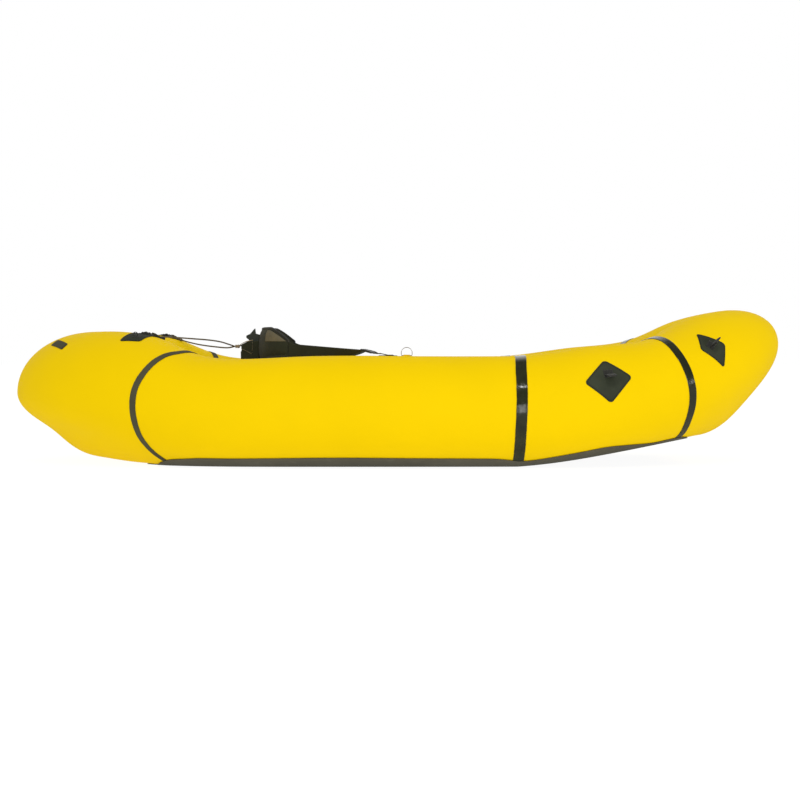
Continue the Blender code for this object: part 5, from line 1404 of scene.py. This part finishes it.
class RAFT_OT_stern_fittings(RaftOperator, bpy.types.Operator):
    """Adds the stern straps with their standing loops, and the ladder locks that hold the cords"""
    bl_idname = "raft.stern_fittings"
    bl_label = "Stern fittings"

    def make(self, context):
        lock = seat_frame(STERN_FITTING_STATION, STERN_BUCKLE_TURN, 2 * PATCH_SEAT, -pi / 2)
        out = way(lock)
        end, spans = -BUCKLE_LENGTH / 2 - 2 * CLEAR, len(STERN_STRAP_LIFTS)
        path = [dropped(lock @ Vector((end - STERN_STRAP_LENGTH * (1 - step / spans), 0, 0)), out, lift)
                for step, lift in enumerate(STERN_STRAP_LIFTS)]
        path += [lock @ Vector((x, 0, BUCKLE_THICKNESS / 4)) for x in (end - WEBBING_THICKNESS, end)]
        centre = dropped(lock @ Vector((-STERN_LOOP_REACH, 0, 0)), out, STERN_STRAP_LIFTS[0])
        radius = (STERN_LOOP_DIAMETER - WEBBING_THICKNESS) / 2
        angles = [step * tau / STERN_RING_STEPS for step in range(STERN_RING_STEPS)]
        ring = [(radius * sin(angle), radius - radius * cos(angle)) for angle in angles]
        standing = [centre + Vector((x, 0, z)) for x, z in ring]
        faces = [Vector((x, 0, z - radius)).normalized() for x, z in ring]
        for label, side in SIDES:
            strap = webbing("strap", path, out, STERN_STRAP_WIDTH, side=side)
            loop = webbing("loop", standing, faces, STERN_LOOP_WIDTH, side=side, closed=True)
            across = way(lock, 1)
            rows = []
            for share in (-0.38, 0.38):
                shift = across * (STERN_STRAP_WIDTH * share) + out * (WEBBING_THICKNESS / 2)
                line = [point + shift for point in path[:5]]
                rows.append(stitches("row", line, out, side))
            shown(joined("webbing_stern_strap_" + label, [strap, loop, *rows]), "hull", "webbing",
                  "stern_strap_" + label)
            softened("stern_buckle_" + label, "black_plastic", 0.0007)
            self.tail(lock, out, label, side)

    def tail(self, lock, out, label, side):
        """The cord threaded round the lock's bars, with the knot that stops it."""
        knot = lock @ Vector((-0.004, 0.002, BUCKLE_THICKNESS + 0.0022))
        ahead, across = way(lock, 0), way(lock, 1)
        path = [lock @ Vector(place) for place in CORD_TAIL]
        lead = cord("lead", smooth_path(path, 16), CORD_DIAMETER * 0.8, "cord_sheath", side)
        turns = []
        for step in range(41):
            angle = step * tau / 13
            turns.append(knot + across * ((step / 40 - 0.5) * 0.010) + ahead * (0.0028 * cos(angle))
                         + out * (0.0022 * sin(angle)))
        coil = cord("coil", turns, CORD_DIAMETER * 0.62, "cord_sheath", side)
        shown(joined("cord_knot_" + label, [lead, coil]), "hull", "cord_sheath")
        strands = []
        for strand in range(STERN_BUNDLE_STRANDS):
            path = smooth_path(STERN_BUNDLE, STERN_BUNDLE_POINTS)
            turned = []
            for step, point in enumerate(path):
                angle = STERN_BUNDLE_TWIST * step / 10 + strand * tau / STERN_BUNDLE_STRANDS
                swell = STERN_BUNDLE_RADIUS * (1 + 0.5 * sin(step * 0.21 + strand))
                turned.append(point + across * (swell * cos(angle)) + out * (swell * sin(angle)))
            strands.append(cord("strand", turned, CORD_DIAMETER, "webbing", side))
        shown(joined("cord_bundle_" + label, strands), "hull", "webbing")


class RAFT_OT_side_straps(RaftOperator, bpy.types.Operator):
    """Adds the backrest's side straps, their buckles and their patches on the tubes"""
    bl_idname = "raft.side_straps"
    bl_label = "Side straps"

    def make(self, context):
        turn = Matrix.Rotation(SIDE_BUCKLE_YAW, 4, "Z") @ Matrix.Rotation(SIDE_BUCKLE_PITCH, 4, "Y")
        centre, _ = hull_lifted(SIDE_BUCKLE_STATION, SIDE_BUCKLE_TURN, SIDE_BUCKLE_LIFT)
        place = Matrix.Translation(Vector(centre)) @ turn
        reach, middle = BUCKLE_LENGTH / 2 + 2 * CLEAR, BUCKLE_THICKNESS / 4
        ahead, flat = way(place, 0), way(place, 1)
        front = place @ Vector((reach, 0, middle))
        lift = PATCH_SEAT + PATCH_THICKNESS + 2 * CLEAR + WEBBING_THICKNESS / 2
        along, around = (Vector(slope) for slope in hull_slopes(SIDE_ANCHOR_STATION, SIDE_ANCHOR_TURN))
        landing = seated(SIDE_ANCHOR_STATION, SIDE_ANCHOR_TURN, lift)
        end = seated(SIDE_ANCHOR_STATION + SIDE_STRAP_TAIL / along.length, SIDE_ANCHOR_TURN, lift)
        bulge = (front + landing) / 2 + Vector((0, 0, SIDE_STRAP_BULGE))
        path = [front, front + ahead * 2 * WEBBING_THICKNESS, bulge, landing, end]
        level = around.normalized() * copysign(1, around.dot(flat))
        strap = (path, [flat, flat, flat.lerp(level, 0.5), level, level])

        rear = place @ Vector((-reach, 0, middle))
        tip = pad_point(BACK_WING, WING_BAND_SHARE, 0)
        turned = tip.copy()
        turned.z -= WING_BAND_HEIGHT
        wide = flat * (WING_STRAP_WIDTH / 2)
        outer, inner = self.band((tip, turned), (rear + wide, rear - wide))
        half_along, half_around = SIDE_ANCHOR_HALF_SIZES
        for label, side in SIDES:
            item = small_patch("welded_side_anchor_" + label, SIDE_ANCHOR_STATION, SIDE_ANCHOR_TURN, half_along,
                               half_around, "patch_fabric", side)
            shown(item, "hull", "patch_fabric", "side_anchor_" + label)
            item = webbing("webbing_side_strap_" + label, strap[0], self.faces(*strap), SIDE_STRAP_WIDTH, side)
            shown(item, "hull", "webbing", "side_strap_" + label)
            softened("side_buckle_" + label, "black_plastic", 0.0007)
            item = shell("wing_band_" + label, outer, inner, "back_fabric", side)
            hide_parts("wing_strap_" + label)
            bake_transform(item)

    def band(self, start, end):
        """The wide band from the backrest's wing, which narrows to the webbing in the buckle."""
        columns, rows = WING_BAND_CELLS
        ahead = (end[0] + end[1] - start[0] - start[1]).normalized()

        def at(i, j):
            share, down = i / columns, j / rows
            flare = WING_BAND_FLARE * (1 - min(share / WING_BAND_FLARE_SHARE, 1)) ** 2
            top = start[0].lerp(end[0], share) + Vector((0, 0, flare))
            low = start[1].lerp(end[1], share) - Vector((0, 0, WING_BAND_DIP * (1 - share ** 12)))
            out = (top - low).normalized().cross(ahead)
            hollow = WING_BAND_HOLLOW * sin(pi * down) * sin(share * 19 + down * 2.5) * (1 - share)
            place = top.lerp(low, down) + out * hollow
            return place + out * (WING_BAND_THICKNESS / 2), place - out * (WING_BAND_THICKNESS / 2)

        return faced(columns + 1, rows + 1, at)

    def faces(self, path, across):
        """The way out of the webbing's flat face at each point of its path."""
        made = []
        for i, wide in enumerate(across):
            ahead = (path[min(i + 1, len(path) - 1)] - path[max(i - 1, 0)]).normalized()
            made.append((wide - ahead * wide.dot(ahead)).normalized().cross(ahead).normalized())
        return made


# Padded pieces

def points_of(mesh):
    """The mesh's points as rows of an array."""
    points = np.zeros(len(mesh.vertices) * 3, np.float32)
    mesh.vertices.foreach_get("co", points)
    return points.reshape(-1, 3).astype(float)


def set_points(mesh, points):
    mesh.vertices.foreach_set("co", points.astype(np.float32).ravel())


def stuffed(name, mesh, slot, pins, cap, voxel=0.005):
    """Blows up a closed piece with a cloth simulation, held where pins says, and smooths it."""
    item = placed(name, mesh, slot)
    start = points_of(evened(item, voxel))
    hold = np.clip(pins(start), 0, 1)
    group = item.vertex_groups.new(name="hold")
    for index, weight in enumerate(hold):
        group.add([index], float(weight), "REPLACE")
    cloth = item.modifiers.new("cloth", "CLOTH")
    cloth.settings.use_pressure = True
    cloth.settings.uniform_pressure_force = CLOTH_PRESSURE
    cloth.settings.effector_weights.gravity = 0
    cloth.settings.vertex_group_mass = "hold"
    cloth.settings.mass = CLOTH_MASS
    cloth.point_cache.frame_start = 1
    cloth.point_cache.frame_end = CLOTH_FRAMES
    for moment in range(1, CLOTH_FRAMES + 1):
        bpy.context.scene.frame_set(moment)
    blown = item.evaluated_get(bpy.context.evaluated_depsgraph_get()).to_mesh()
    end = points_of(blown)
    item.modifiers.remove(cloth)
    item.vertex_groups.clear()
    bpy.context.scene.frame_set(1)
    move = end - start
    far = np.linalg.norm(move, axis=1, keepdims=True)
    limit = cap * (1 - 0.85 * hold[:, None])
    move *= np.where(far > 0, limit * np.tanh(far / np.maximum(limit, 1e-6)) / np.maximum(far, 1e-9), 0)
    set_points(item.data, start + move)
    item.data.update()
    subdivision = item.modifiers.new("smooth", "SUBSURF")
    subdivision.levels = subdivision.render_levels = 1
    bpy.context.view_layer.update()
    fine = baked(item, subdivision)
    fine.name = name
    fine.shade_smooth()
    fine.materials.clear()
    fine.materials.append(MATERIALS[slot])
    return item


def moved_points(item, change):
    """Moves the points of a piece by a function of all of them."""
    set_points(item.data, change(points_of(item.data)))
    item.data.update()


def with_lengths(item, places):
    """Gives a piece a texture map from its points."""
    mesh = item.data
    spread = places(points_of(mesh))
    corners = np.zeros(len(mesh.loops), np.int32)
    mesh.loops.foreach_get("vertex_index", corners)
    layer = mesh.uv_layers.get("UVMap") or mesh.uv_layers.new(name="UVMap")
    layer.data.foreach_set("uv", spread[corners].astype(np.float32).ravel())
    return item


def surface_of(item):
    """The piece's surface, to lay other pieces on."""
    return BVHTree.FromObject(item, bpy.context.evaluated_depsgraph_get())


def seat_top(a, b):
    """A point of the seat's top, where a and b run from -1 to 1 along it and across it."""
    middle, half_length = (SEAT_REAR + SEAT_FRONT) / 2, (SEAT_FRONT - SEAT_REAR) / 2
    edge = max(0, 1 - abs(a) ** 6) ** 0.5 * max(0, 1 - abs(b) ** 6) ** 0.5
    dip = sum(exp(-((b - share) * SEAT_HALF_WIDTH / SEAT_CHANNEL_WIDTH) ** 2) for share in SEAT_CHANNEL_SHARES)
    height = SEAT_HEIGHT - SEAT_CROWN * (a * a + b * b) / 2 - SEAT_CHANNEL_DEPTH * dip
    return Vector((middle + a * half_length * (1 - SEAT_DRAW_SHARE * b * b),
                   b * SEAT_HALF_WIDTH * (1 - SEAT_DRAW_SHARE * a * a),
                   FLOOR_SKIN + CLEAR + SEAT_RIM + (height - SEAT_RIM) * edge))


class RAFT_OT_seat(RaftOperator, bpy.types.Operator):
    """Adds the padded seat cushion and the stitches along its channels"""
    bl_idname = "raft.seat"
    bl_label = "Seat"

    def make(self, context):
        middle, ground = (SEAT_REAR + SEAT_FRONT) / 2, FLOOR_SKIN + CLEAR
        columns, rows = SEAT_CELLS
        top = np.array([[tuple(seat_top(2 * i / columns - 1, 2 * j / rows - 1)) for j in range(rows + 1)]
                        for i in range(columns + 1)])
        top[..., :2] = (top[..., :2] - (middle, 0)) * SEAT_SHRINK_SHARE + (middle, 0)
        low = top.copy()
        low[..., :2] = (low[..., :2] - (middle, 0)) * SEAT_FOOT_SHARE + (middle, 0)
        low[..., 2] = ground
        base = shell("seat_form", top, low, "seat_fabric")
        mesh = base.data
        bpy.data.objects.remove(base)

        def pins(points):
            along = np.abs((points[:, 1, None] / SEAT_HALF_WIDTH) - np.array(SEAT_CHANNEL_SHARES)).min(1)
            return np.maximum(np.exp(-(along * SEAT_HALF_WIDTH / 0.007) ** 2), points[:, 2] < ground + 0.006)

        item = stuffed("padded_seat", mesh, "seat_fabric", pins, 0.006)

        def settle(points):
            away = np.abs(points[:, 1, None] - np.array(SEAT_CHANNEL_SHARES) * SEAT_HALF_WIDTH).min(1)
            upper = np.clip((points[:, 2] - ground - 0.012) / 0.02, 0, 1)
            points[:, 2] -= 0.0030 * np.exp(-(away / 0.0028) ** 2) * upper
            points[:, 2] = np.maximum(points[:, 2], ground)
            points[:, 1] = np.clip(points[:, 1], -SEAT_HALF_WIDTH, SEAT_HALF_WIDTH)
            return points

        moved_points(item, settle)
        creased(item, 0.0016, 26.0, 4.0, "seat_fabric")
        with_lengths(item, lambda points: points[:, :2] + points[:, 2:] * 0.7)
        moved_points(item, lambda points: np.column_stack((points[:, :2], np.maximum(points[:, 2], ground))))
        shown(item, "hull", "seat_fabric", "seat_cushion")
        surface = surface_of(item)
        rows = []
        for share in SEAT_CHANNEL_SHARES:
            line = []
            for step in range(60):
                place = seat_top(-0.86 + 1.72 * step / 59, share)
                found = surface.ray_cast(Vector((place.x, place.y, 0.2)), Vector((0, 0, -1)))[0]
                line.append(found + Vector((0, 0, THREAD_SEAT)))
            rows.append(stitches("row", line, Vector((0, 0, 1))))
        shown(joined("seat_sewing", rows), "hull", "seat_fabric")


# Backrest

def pad_half_thickness(a, v):
    """Half the pad's thickness: full in the middle, thin at rims and wing tips, drawn in at the channels."""
    belly = max(0, 1 - abs(2 * v - 1) ** 4) ** 0.5 * (1 - BACK_WING_THIN_SHARE * abs(a / BACK_WING) ** 5)
    dip = sum(exp(-((v - share) / BACK_CHANNEL_SPREAD_SHARE) ** 2) for share in BACK_CHANNEL_SHARES)
    full = BACK_THICKNESS * (1 - BACK_CHANNEL_SHARE * dip)
    return (BACK_RIM + (full - BACK_RIM) * belly) / 2


def pad_limits(a):
    """The heights of the pad's lower and upper edge at a bend."""
    bend = np.abs(a) / BACK_WING
    fall = np.maximum(0, (np.abs(a) - BACK_TOP_BEND) / (BACK_WING - BACK_TOP_BEND))
    return (HEM_Z + HEM_RADIUS + CLEAR + (BACK_WING_LOW - HEM_Z) * bend ** 2.5,
            BACK_TOP - (BACK_TOP - BACK_WING_TOP) * fall ** BACK_FALL_POWER)


def pad_outward(a):
    slope = hypot(BACK_HALF_WIDTH * cos(a), BACK_REACH * sin(a))
    return Vector((-BACK_HALF_WIDTH * cos(a), BACK_REACH * sin(a), 0)) / slope


def pad_point(a, v, lift):
    """A point of the pad at the angle a round its bend and the height share v, off its middle surface."""
    low, top = pad_limits(a)
    middle = Vector((BACK_X + BACK_REACH * (1 - cos(a)), BACK_HALF_WIDTH * sin(a), low + (top - low) * v))
    return middle + pad_outward(a) * lift


def pad_places(points):
    """The bend and the height share of each point of the pad."""
    a = np.arctan2(points[:, 1] / BACK_HALF_WIDTH, 1 - (points[:, 0] - BACK_X) / BACK_REACH)
    a = np.clip(a, -BACK_WING, BACK_WING)
    low, top = pad_limits(a)
    return a, (points[:, 2] - low) / (top - low)


class RAFT_OT_backrest(RaftOperator, bpy.types.Operator):
    """Adds the padded backrest with its binding, side panels, hem and sewn channels"""
    bl_idname = "raft.backrest"
    bl_label = "Backrest"

    def make(self, context):
        pad = self.pad()
        surface = surface_of(pad)
        self.binding()
        self.sewing(surface)
        for label, side in SIDES:
            self.side_panel(surface, label, side)
            self.anchor(label, side)
        place = Matrix.Translation((HEM_X, 0, HEM_Z))
        line = [place @ Vector((0, y, 0)) for y in np.linspace(-HEM_HALF_LENGTH, HEM_HALF_LENGTH, 60)]
        item = cord("rolled_hem", line, 2 * HEM_RADIUS, "binding", braid=0.01, step=0.002)
        shown(item, "backrest", "binding", "backrest_hem")

    def pad(self):
        columns, rows = BACK_CELLS
        grids = []
        for layer in (1, -1):
            grids.append(np.array([[tuple(pad_point(a, v, layer * pad_half_thickness(a, v) * 0.86))
                                    for v in np.linspace(0.0, 1.012, rows + 1)]
                                   for a in np.linspace(-BACK_WING, BACK_WING, columns + 1)]))
        base = shell("pad_form", *grids, "back_fabric")
        mesh = base.data
        bpy.data.objects.remove(base)

        def pins(points):
            a, v = pad_places(points)
            near = np.abs(v[:, None] - np.array(BACK_CHANNEL_SHARES)).min(1)
            rim = np.maximum(np.maximum(v - 0.95, 0.05 - v) * 40, (np.abs(a) / BACK_WING - 0.93) * 30)
            return np.maximum(np.exp(-(near / 0.030) ** 2), rim)

        item = stuffed("padded_backrest", mesh, "back_fabric", pins, 0.003, voxel=0.0035)

        def settle(points):
            a, v = pad_places(points)
            out = np.column_stack((-BACK_HALF_WIDTH * np.cos(a), BACK_REACH * np.sin(a), 0 * a))
            out /= np.linalg.norm(out, axis=1, keepdims=True)
            middle = np.column_stack((BACK_X + BACK_REACH * (1 - np.cos(a)), BACK_HALF_WIDTH * np.sin(a),
                                      points[:, 2]))
            away = ((points - middle) * out).sum(1)
            near = np.abs(v[:, None] - np.array(BACK_CHANNEL_SHARES)).min(1)
            return points - out * (away * 0.22 * np.exp(-(near / 0.016) ** 2))[:, None]

        moved_points(item, settle)
        creased(item, 0.0014, 30.0, 1.0, "back_fabric")

        with_lengths(item, lambda points: np.column_stack((pad_places(points)[0] * BACK_HALF_WIDTH, points[:, 2])))
        shown(item, "backrest", "back_fabric", "backrest_pad")
        return item

    def binding(self):
        """Binding along the pad's top edge and down its wing tips."""
        count = BINDING_STEPS
        bends = [BACK_WING * (2 * i / count - 1) for i in range(count + 1)]
        edge = [pad_point(a, 1, 0) for a in bends]
        path, faces = [], []
        for i, point in enumerate(edge):
            ahead = (edge[min(i + 1, count)] - edge[max(i - 1, 0)]).normalized()
            square = (Vector((0, 0, 1)) - ahead * ahead.z).normalized()
            path.append(point + square * BINDING_SEAT)
            faces.append(square)
        round_edge = cord("round_edge", path, 2 * BINDING_RADIUS, "binding", braid=0.012, step=0.002)
        rows = []
        for share in (-1, 1):
            ways = [pad_outward(a) * share for a in bends]
            line = [point + out * (BINDING_RADIUS * 0.97) - square * 0.0008
                    for point, square, out in zip(path, faces, ways)]
            rows.append(stitches("row", line, ways))
        shown(joined("sewn_binding", [round_edge, *rows]), "backrest", "binding", "backrest_binding")

    def sewing(self, surface):
        """Stitches along the channels, on the front and on the rear face."""
        rows = []
        for share in BACK_CHANNEL_SHARES:
            for layer in (1, -1):
                line, faces = [], []
                for step in range(81):
                    a = BACK_WING * 0.9 * (step / 40 - 1)
                    out = pad_outward(a) * layer
                    found = surface.ray_cast(pad_point(a, share, 0) + out * CAST_REACH, -out)[0]
                    if found is not None:
                        line.append(found + out * THREAD_SEAT)
                        faces.append(out)
                rows.append(stitches("row", line, faces))
        shown(joined("backrest_sewing", rows), "backrest", "back_fabric")

    def side_panel(self, surface, label, side):
        """The lighter panel on a wing's outer face, with upright wrinkles near its rear edge."""
        columns, rows = PANEL_CELLS
        first, last = PANEL_SPAN

        def at(i, j):
            share, height = i / columns, j / rows
            a = BACK_WING * (first + (last - first) * share)
            out = pad_outward(a)
            low, top = pad_limits(a)
            v = (PANEL_LOW + max(top - PANEL_DROP - PANEL_LOW, 0.0004) * height - low) / (top - low)
            found = surface.ray_cast(pad_point(a, v, 0) + out * CAST_REACH, -out)[0]
            found = found if found is not None else pad_point(a, v, pad_half_thickness(a, v))
            wrinkle = 0.5 + 0.5 * sin(share * 74 + 1.7 * sin(height * 4) + 0.9 * sin(share * 23))
            swell = exp(-share * 2.2) * sin(pi * min(max(height, 0.02), 0.98)) ** 0.5
            return found + out * (0.0010 + PANEL_WRINKLE * wrinkle * swell), found + out * 0.0001

        item = shell("wing_panel_" + label, *faced(columns + 1, rows + 1, at), "panel_fabric", side)
        shown(item, "backrest", "panel_fabric", "backrest_side_panel_" + label)

    def anchor(self, label, side):
        """A webbing cup round the end of the hem, with a tab that runs out to the tube."""
        rim = HEM_HALF_LENGTH + CLEAR
        place = Matrix.Translation((HEM_X, 0, HEM_Z)) @ Matrix.Rotation(-pi / 2, 4, "X")
        bore = HEM_RADIUS + CLEAR
        start, end = rim - ANCHOR_CUP_LENGTH, rim + WEBBING_THICKNESS
        soft = 0.0008
        cup = lathe("cup", [(bore, start), (ANCHOR_CUP_RADIUS - soft, start), (ANCHOR_CUP_RADIUS, start + soft),
                            (ANCHOR_CUP_RADIUS, end - soft), (ANCHOR_CUP_RADIUS - soft, end), (0, end), (0, rim),
                            (bore, rim)], place, "webbing", side)
        near = end - WEBBING_THICKNESS / 2
        half = ANCHOR_WIDTH / 2
        reach = min(FACETS.ray_cast(Vector((HEM_X + x, near, HEM_Z)), Vector((0, 1, 0)))[0].y
                    for x in (-half, half))
        line = [Vector((HEM_X, near + (reach - CLEAR - near) * step / 4, HEM_Z)) for step in range(5)]
        tab = webbing("tab", line, Vector((0, 0, 1)), ANCHOR_WIDTH, side=side)
        shown(joined("webbing_anchor_" + label, [cup, tab]), "hull", "webbing", "backrest_anchor_" + label)


class RAFT_OT_harness(RaftOperator, bpy.types.Operator):
    """Adds the sleeve, the adjuster and the bridle with its hook behind the backrest"""
    bl_idname = "raft.harness"
    bl_label = "Harness"

    def make(self, context):
        self.sleeve()
        adjuster = softened("backrest_adjuster", "green_plastic", 0.0012, 4, "backrest")
        adjuster.data.transform(Matrix.Translation(ADJUSTER_SHIFT))
        self.hook()
        self.piping()

    def sleeve(self):
        """The sleeve with its pocket, with rounded edges and soft creases."""
        work = flat_faced(frame["nodes"]["backrest_sleeve"].data)
        self.pocket(work)
        bmesh.ops.bevel(work, geom=list(work.edges), offset=0.0025, segments=3, affect="EDGES", profile=0.5)
        bmesh.ops.triangulate(work, faces=work.faces)
        mesh = bpy.data.meshes.new("backrest_sleeve")
        work.to_mesh(mesh)
        work.free()
        item = placed("sewn_sleeve", mesh, "back_fabric")
        evened(item, 0.002).shade_smooth()
        creased(item, 0.0022, 45.0, 7.0, "back_fabric")
        with_lengths(item, lambda points: points[:, 1:] + points[:, :1])
        shown(item, "backrest", "back_fabric", "backrest_sleeve")

    def pocket(self, work):
        """The pocket over the sleeve that the adjuster stands on."""
        near, far = ([work.verts.new((x, y, z)) for x, z in POCKET_OUTLINE]
                     for y in (-SLEEVE_HALF_WIDTH, SLEEVE_HALF_WIDTH))
        faces = [work.faces.new(near), work.faces.new(far[::-1])]
        faces += [work.faces.new((near[i - 1], far[i - 1], far[i], near[i])) for i in range(len(near))]
        bmesh.ops.recalc_face_normals(work, faces=faces)

    def hook(self):
        """The bridle cord, and the moulded hook that the shock cords are caught in."""
        axis = Matrix.Translation(HOOK_PLACE) @ Matrix.Rotation(pi / 2, 4, "Y")
        body = lathe("hook", HOOK_PROFILE, axis, "tan_plastic", steps=40)
        path = smooth_path([HOOK_PLACE, *BRIDLE_ROUTE], 24)
        line = cord("bridle", path, BRIDLE_DIAMETER, "cord_sheath")
        knot = []
        for step in range(46):
            angle = step * tau / 15
            knot.append(HOOK_PLACE + Vector((0.0075 - 0.0001 * step, 0.0036 * cos(angle), 0.0036 * sin(angle))))
        turns = cord("turns", knot, BRIDLE_DIAMETER * 0.55, "tan_plastic")
        shown(joined("bridle_hook", [body, line, turns]), "backrest", "tan_plastic", "backrest_hook")

    def piping(self):
        """Thin corded edges of the pocket."""
        items = []
        for y in (-SLEEVE_HALF_WIDTH - PIPING_DIAMETER / 2, SLEEVE_HALF_WIDTH + PIPING_DIAMETER / 2):
            for slot, *places in PIPING:
                path = smooth_path([(x, y, z) for x, z in places], 14)
                items.append(cord("edge", path, PIPING_DIAMETER, slot, braid=0.02))
        shown(joined("harness_edges", items), "backrest", "panel_fabric")


class RAFT_OT_valves(RaftOperator, bpy.types.Operator):
    """Finishes the main valve and the seat's mouth valve"""
    bl_idname = "raft.valves"
    bl_label = "Valves"

    def make(self, context):
        self.flange()
        for name, body, width in (("valve_cap", "valve_cap", 0.0005), ("seat_valve_body", "hull", 0.0004),
                                  ("seat_valve_plug", "seat_plug", 0.0006)):
            softened(name, "black_plastic", width, 3, body)

    def flange(self):
        """A round flange welded to the tube, with raised rings."""
        place = surface_frame(VALVE_STATION, VALVE_TURN)
        out = way(place)
        steps, rows = VALVE_FLANGE_STEPS
        radii = np.linspace(VALVE_BODY_RADIUS + CLEAR, VALVE_FLANGE_RADIUS, rows)

        def at(j, i):
            angle, share = i * tau / steps, j / (rows - 1)
            start = place @ Vector((radii[j] * cos(angle), radii[j] * sin(angle), 0))
            found = SMOOTH.ray_cast(start + out * PROBE_REACH, -out)[0]
            rise = VALVE_FLANGE_THICKNESS * (1 - 0.6 * share ** 12)
            rise += VALVE_FLANGE_RING * sin(share * 6 * pi) * (share < 0.85)
            return found + out * (CLEAR + rise), found + out * CLEAR

        item = shell("welded_valve_flange", *faced(rows, steps, at), "patch_fabric", ring=True)
        shown(item, "hull", "patch_fabric", "valve_flange")


class RAFT_OT_leash_hoop(RaftOperator, bpy.types.Operator):
    """Adds the thin leash hoop, its sewn sleeve and its patch"""
    bl_idname = "raft.leash_hoop"
    bl_label = "Leash hoop"

    def make(self, context):
        half_along, half_around = HOOP_PATCH_HALF_SIZES
        base = small_patch("base", HOOP_STATION, HOOP_TURN, half_along, half_around, "yellow_fabric", 1)
        bore = HOOP_WIRE / 2 + CLEAR
        rim = bore + HOOP_TUBE_WALL
        place = seat_frame(HOOP_STATION, HOOP_TURN, PATCH_SEAT + PATCH_THICKNESS / 2 + rim)
        half = HOOP_TUBE_LENGTH / 2
        soft = HOOP_TUBE_SOFT
        pipe = lathe("pipe", [(bore, -half), (rim - soft, -half), (rim, soft - half), (rim, half - soft),
                              (rim - soft, half), (bore, half)], place @ Matrix.Rotation(pi / 2, 4, "Y"),
                     "yellow_fabric", steps=40)
        shown(joined("leash_base", [base, pipe]), "hull", "patch_fabric", "leash_patch")
        radius = HOOP_WIDTH / 2
        foot, straight = radius - HOOP_CORNER, HOOP_HEIGHT - radius
        corner = [(foot + HOOP_CORNER * sin(t), HOOP_CORNER * (1 - cos(t))) for t in np.linspace(0.3, pi / 2, 6)]
        path = [Vector((x, 0, 0)) for x in np.linspace(-foot, foot, 14)]
        path += [Vector((x, 0, z)) for x, z in corner]
        path += [Vector((radius * cos(t), 0, straight + radius * sin(t))) for t in np.linspace(0, pi, 40)]
        path += [Vector((-x, 0, z)) for x, z in reversed(corner)]
        lean = Matrix.Rotation(HOOP_TURN - pi / 2, 4, "X")
        item = cord("moulded_hoop", [place @ (lean @ point) for point in path], HOOP_WIRE, "hoop_plastic",
                    closed=True, braid=0.0, step=0.0010)
        shown(item, "leash_hoop", "hoop_plastic", "leash_hoop")


OPERATORS = (RAFT_OT_stage, RAFT_OT_shock_cords, RAFT_OT_hull, RAFT_OT_tapes, RAFT_OT_floor, RAFT_OT_patches,
             RAFT_OT_loops, RAFT_OT_stern_fittings, RAFT_OT_side_straps, RAFT_OT_seat, RAFT_OT_backrest,
             RAFT_OT_harness, RAFT_OT_valves, RAFT_OT_leash_hoop)


class RAFT_PT_panel(bpy.types.Panel):
    """Lists the raft's pieces, sizes and colours"""
    bl_label = "Packraft"
    bl_space_type = "VIEW_3D"
    bl_region_type = "UI"
    bl_category = "Packraft"

    def draw(self, context):
        for made in OPERATORS:
            self.layout.operator(made.bl_idname)
        for group in (context.scene.raft_sizes, context.scene.raft_colours):
            box = self.layout.box()
            for key in group.bl_rna.properties.keys():
                if key not in ("rna_type", "name"):
                    box.prop(group, key)


CLASSES = (RaftSizes, RaftColours, *OPERATORS, RAFT_PT_panel)


def register():
    for made in CLASSES:
        bpy.utils.register_class(made)
    bpy.types.Scene.raft_sizes = PointerProperty(type=RaftSizes)
    bpy.types.Scene.raft_colours = PointerProperty(type=RaftColours)


def unregister():
    del bpy.types.Scene.raft_sizes, bpy.types.Scene.raft_colours
    for made in reversed(CLASSES):
        bpy.utils.unregister_class(made)


def finish_cad_nodes():
    """Gives each CAD node that stays its own finish."""
    slots = {entry["node"]: entry["material_slot"] for entry in frame["record"]["subparts"]}
    for name, item in frame["nodes"].items():
        if not item.hide_render and name in slots:
            for place in range(max(1, len(item.material_slots))):
                item.data.materials[place] = MATERIALS[slots[name]]


def main():
    register()
    make_materials()
    for made in OPERATORS:
        group, name = made.bl_idname.split(".")
        getattr(getattr(bpy.ops, group), name)()
    finish_cad_nodes()
    bpy.context.view_layer.update()


if __name__ == "__main__":
    main()
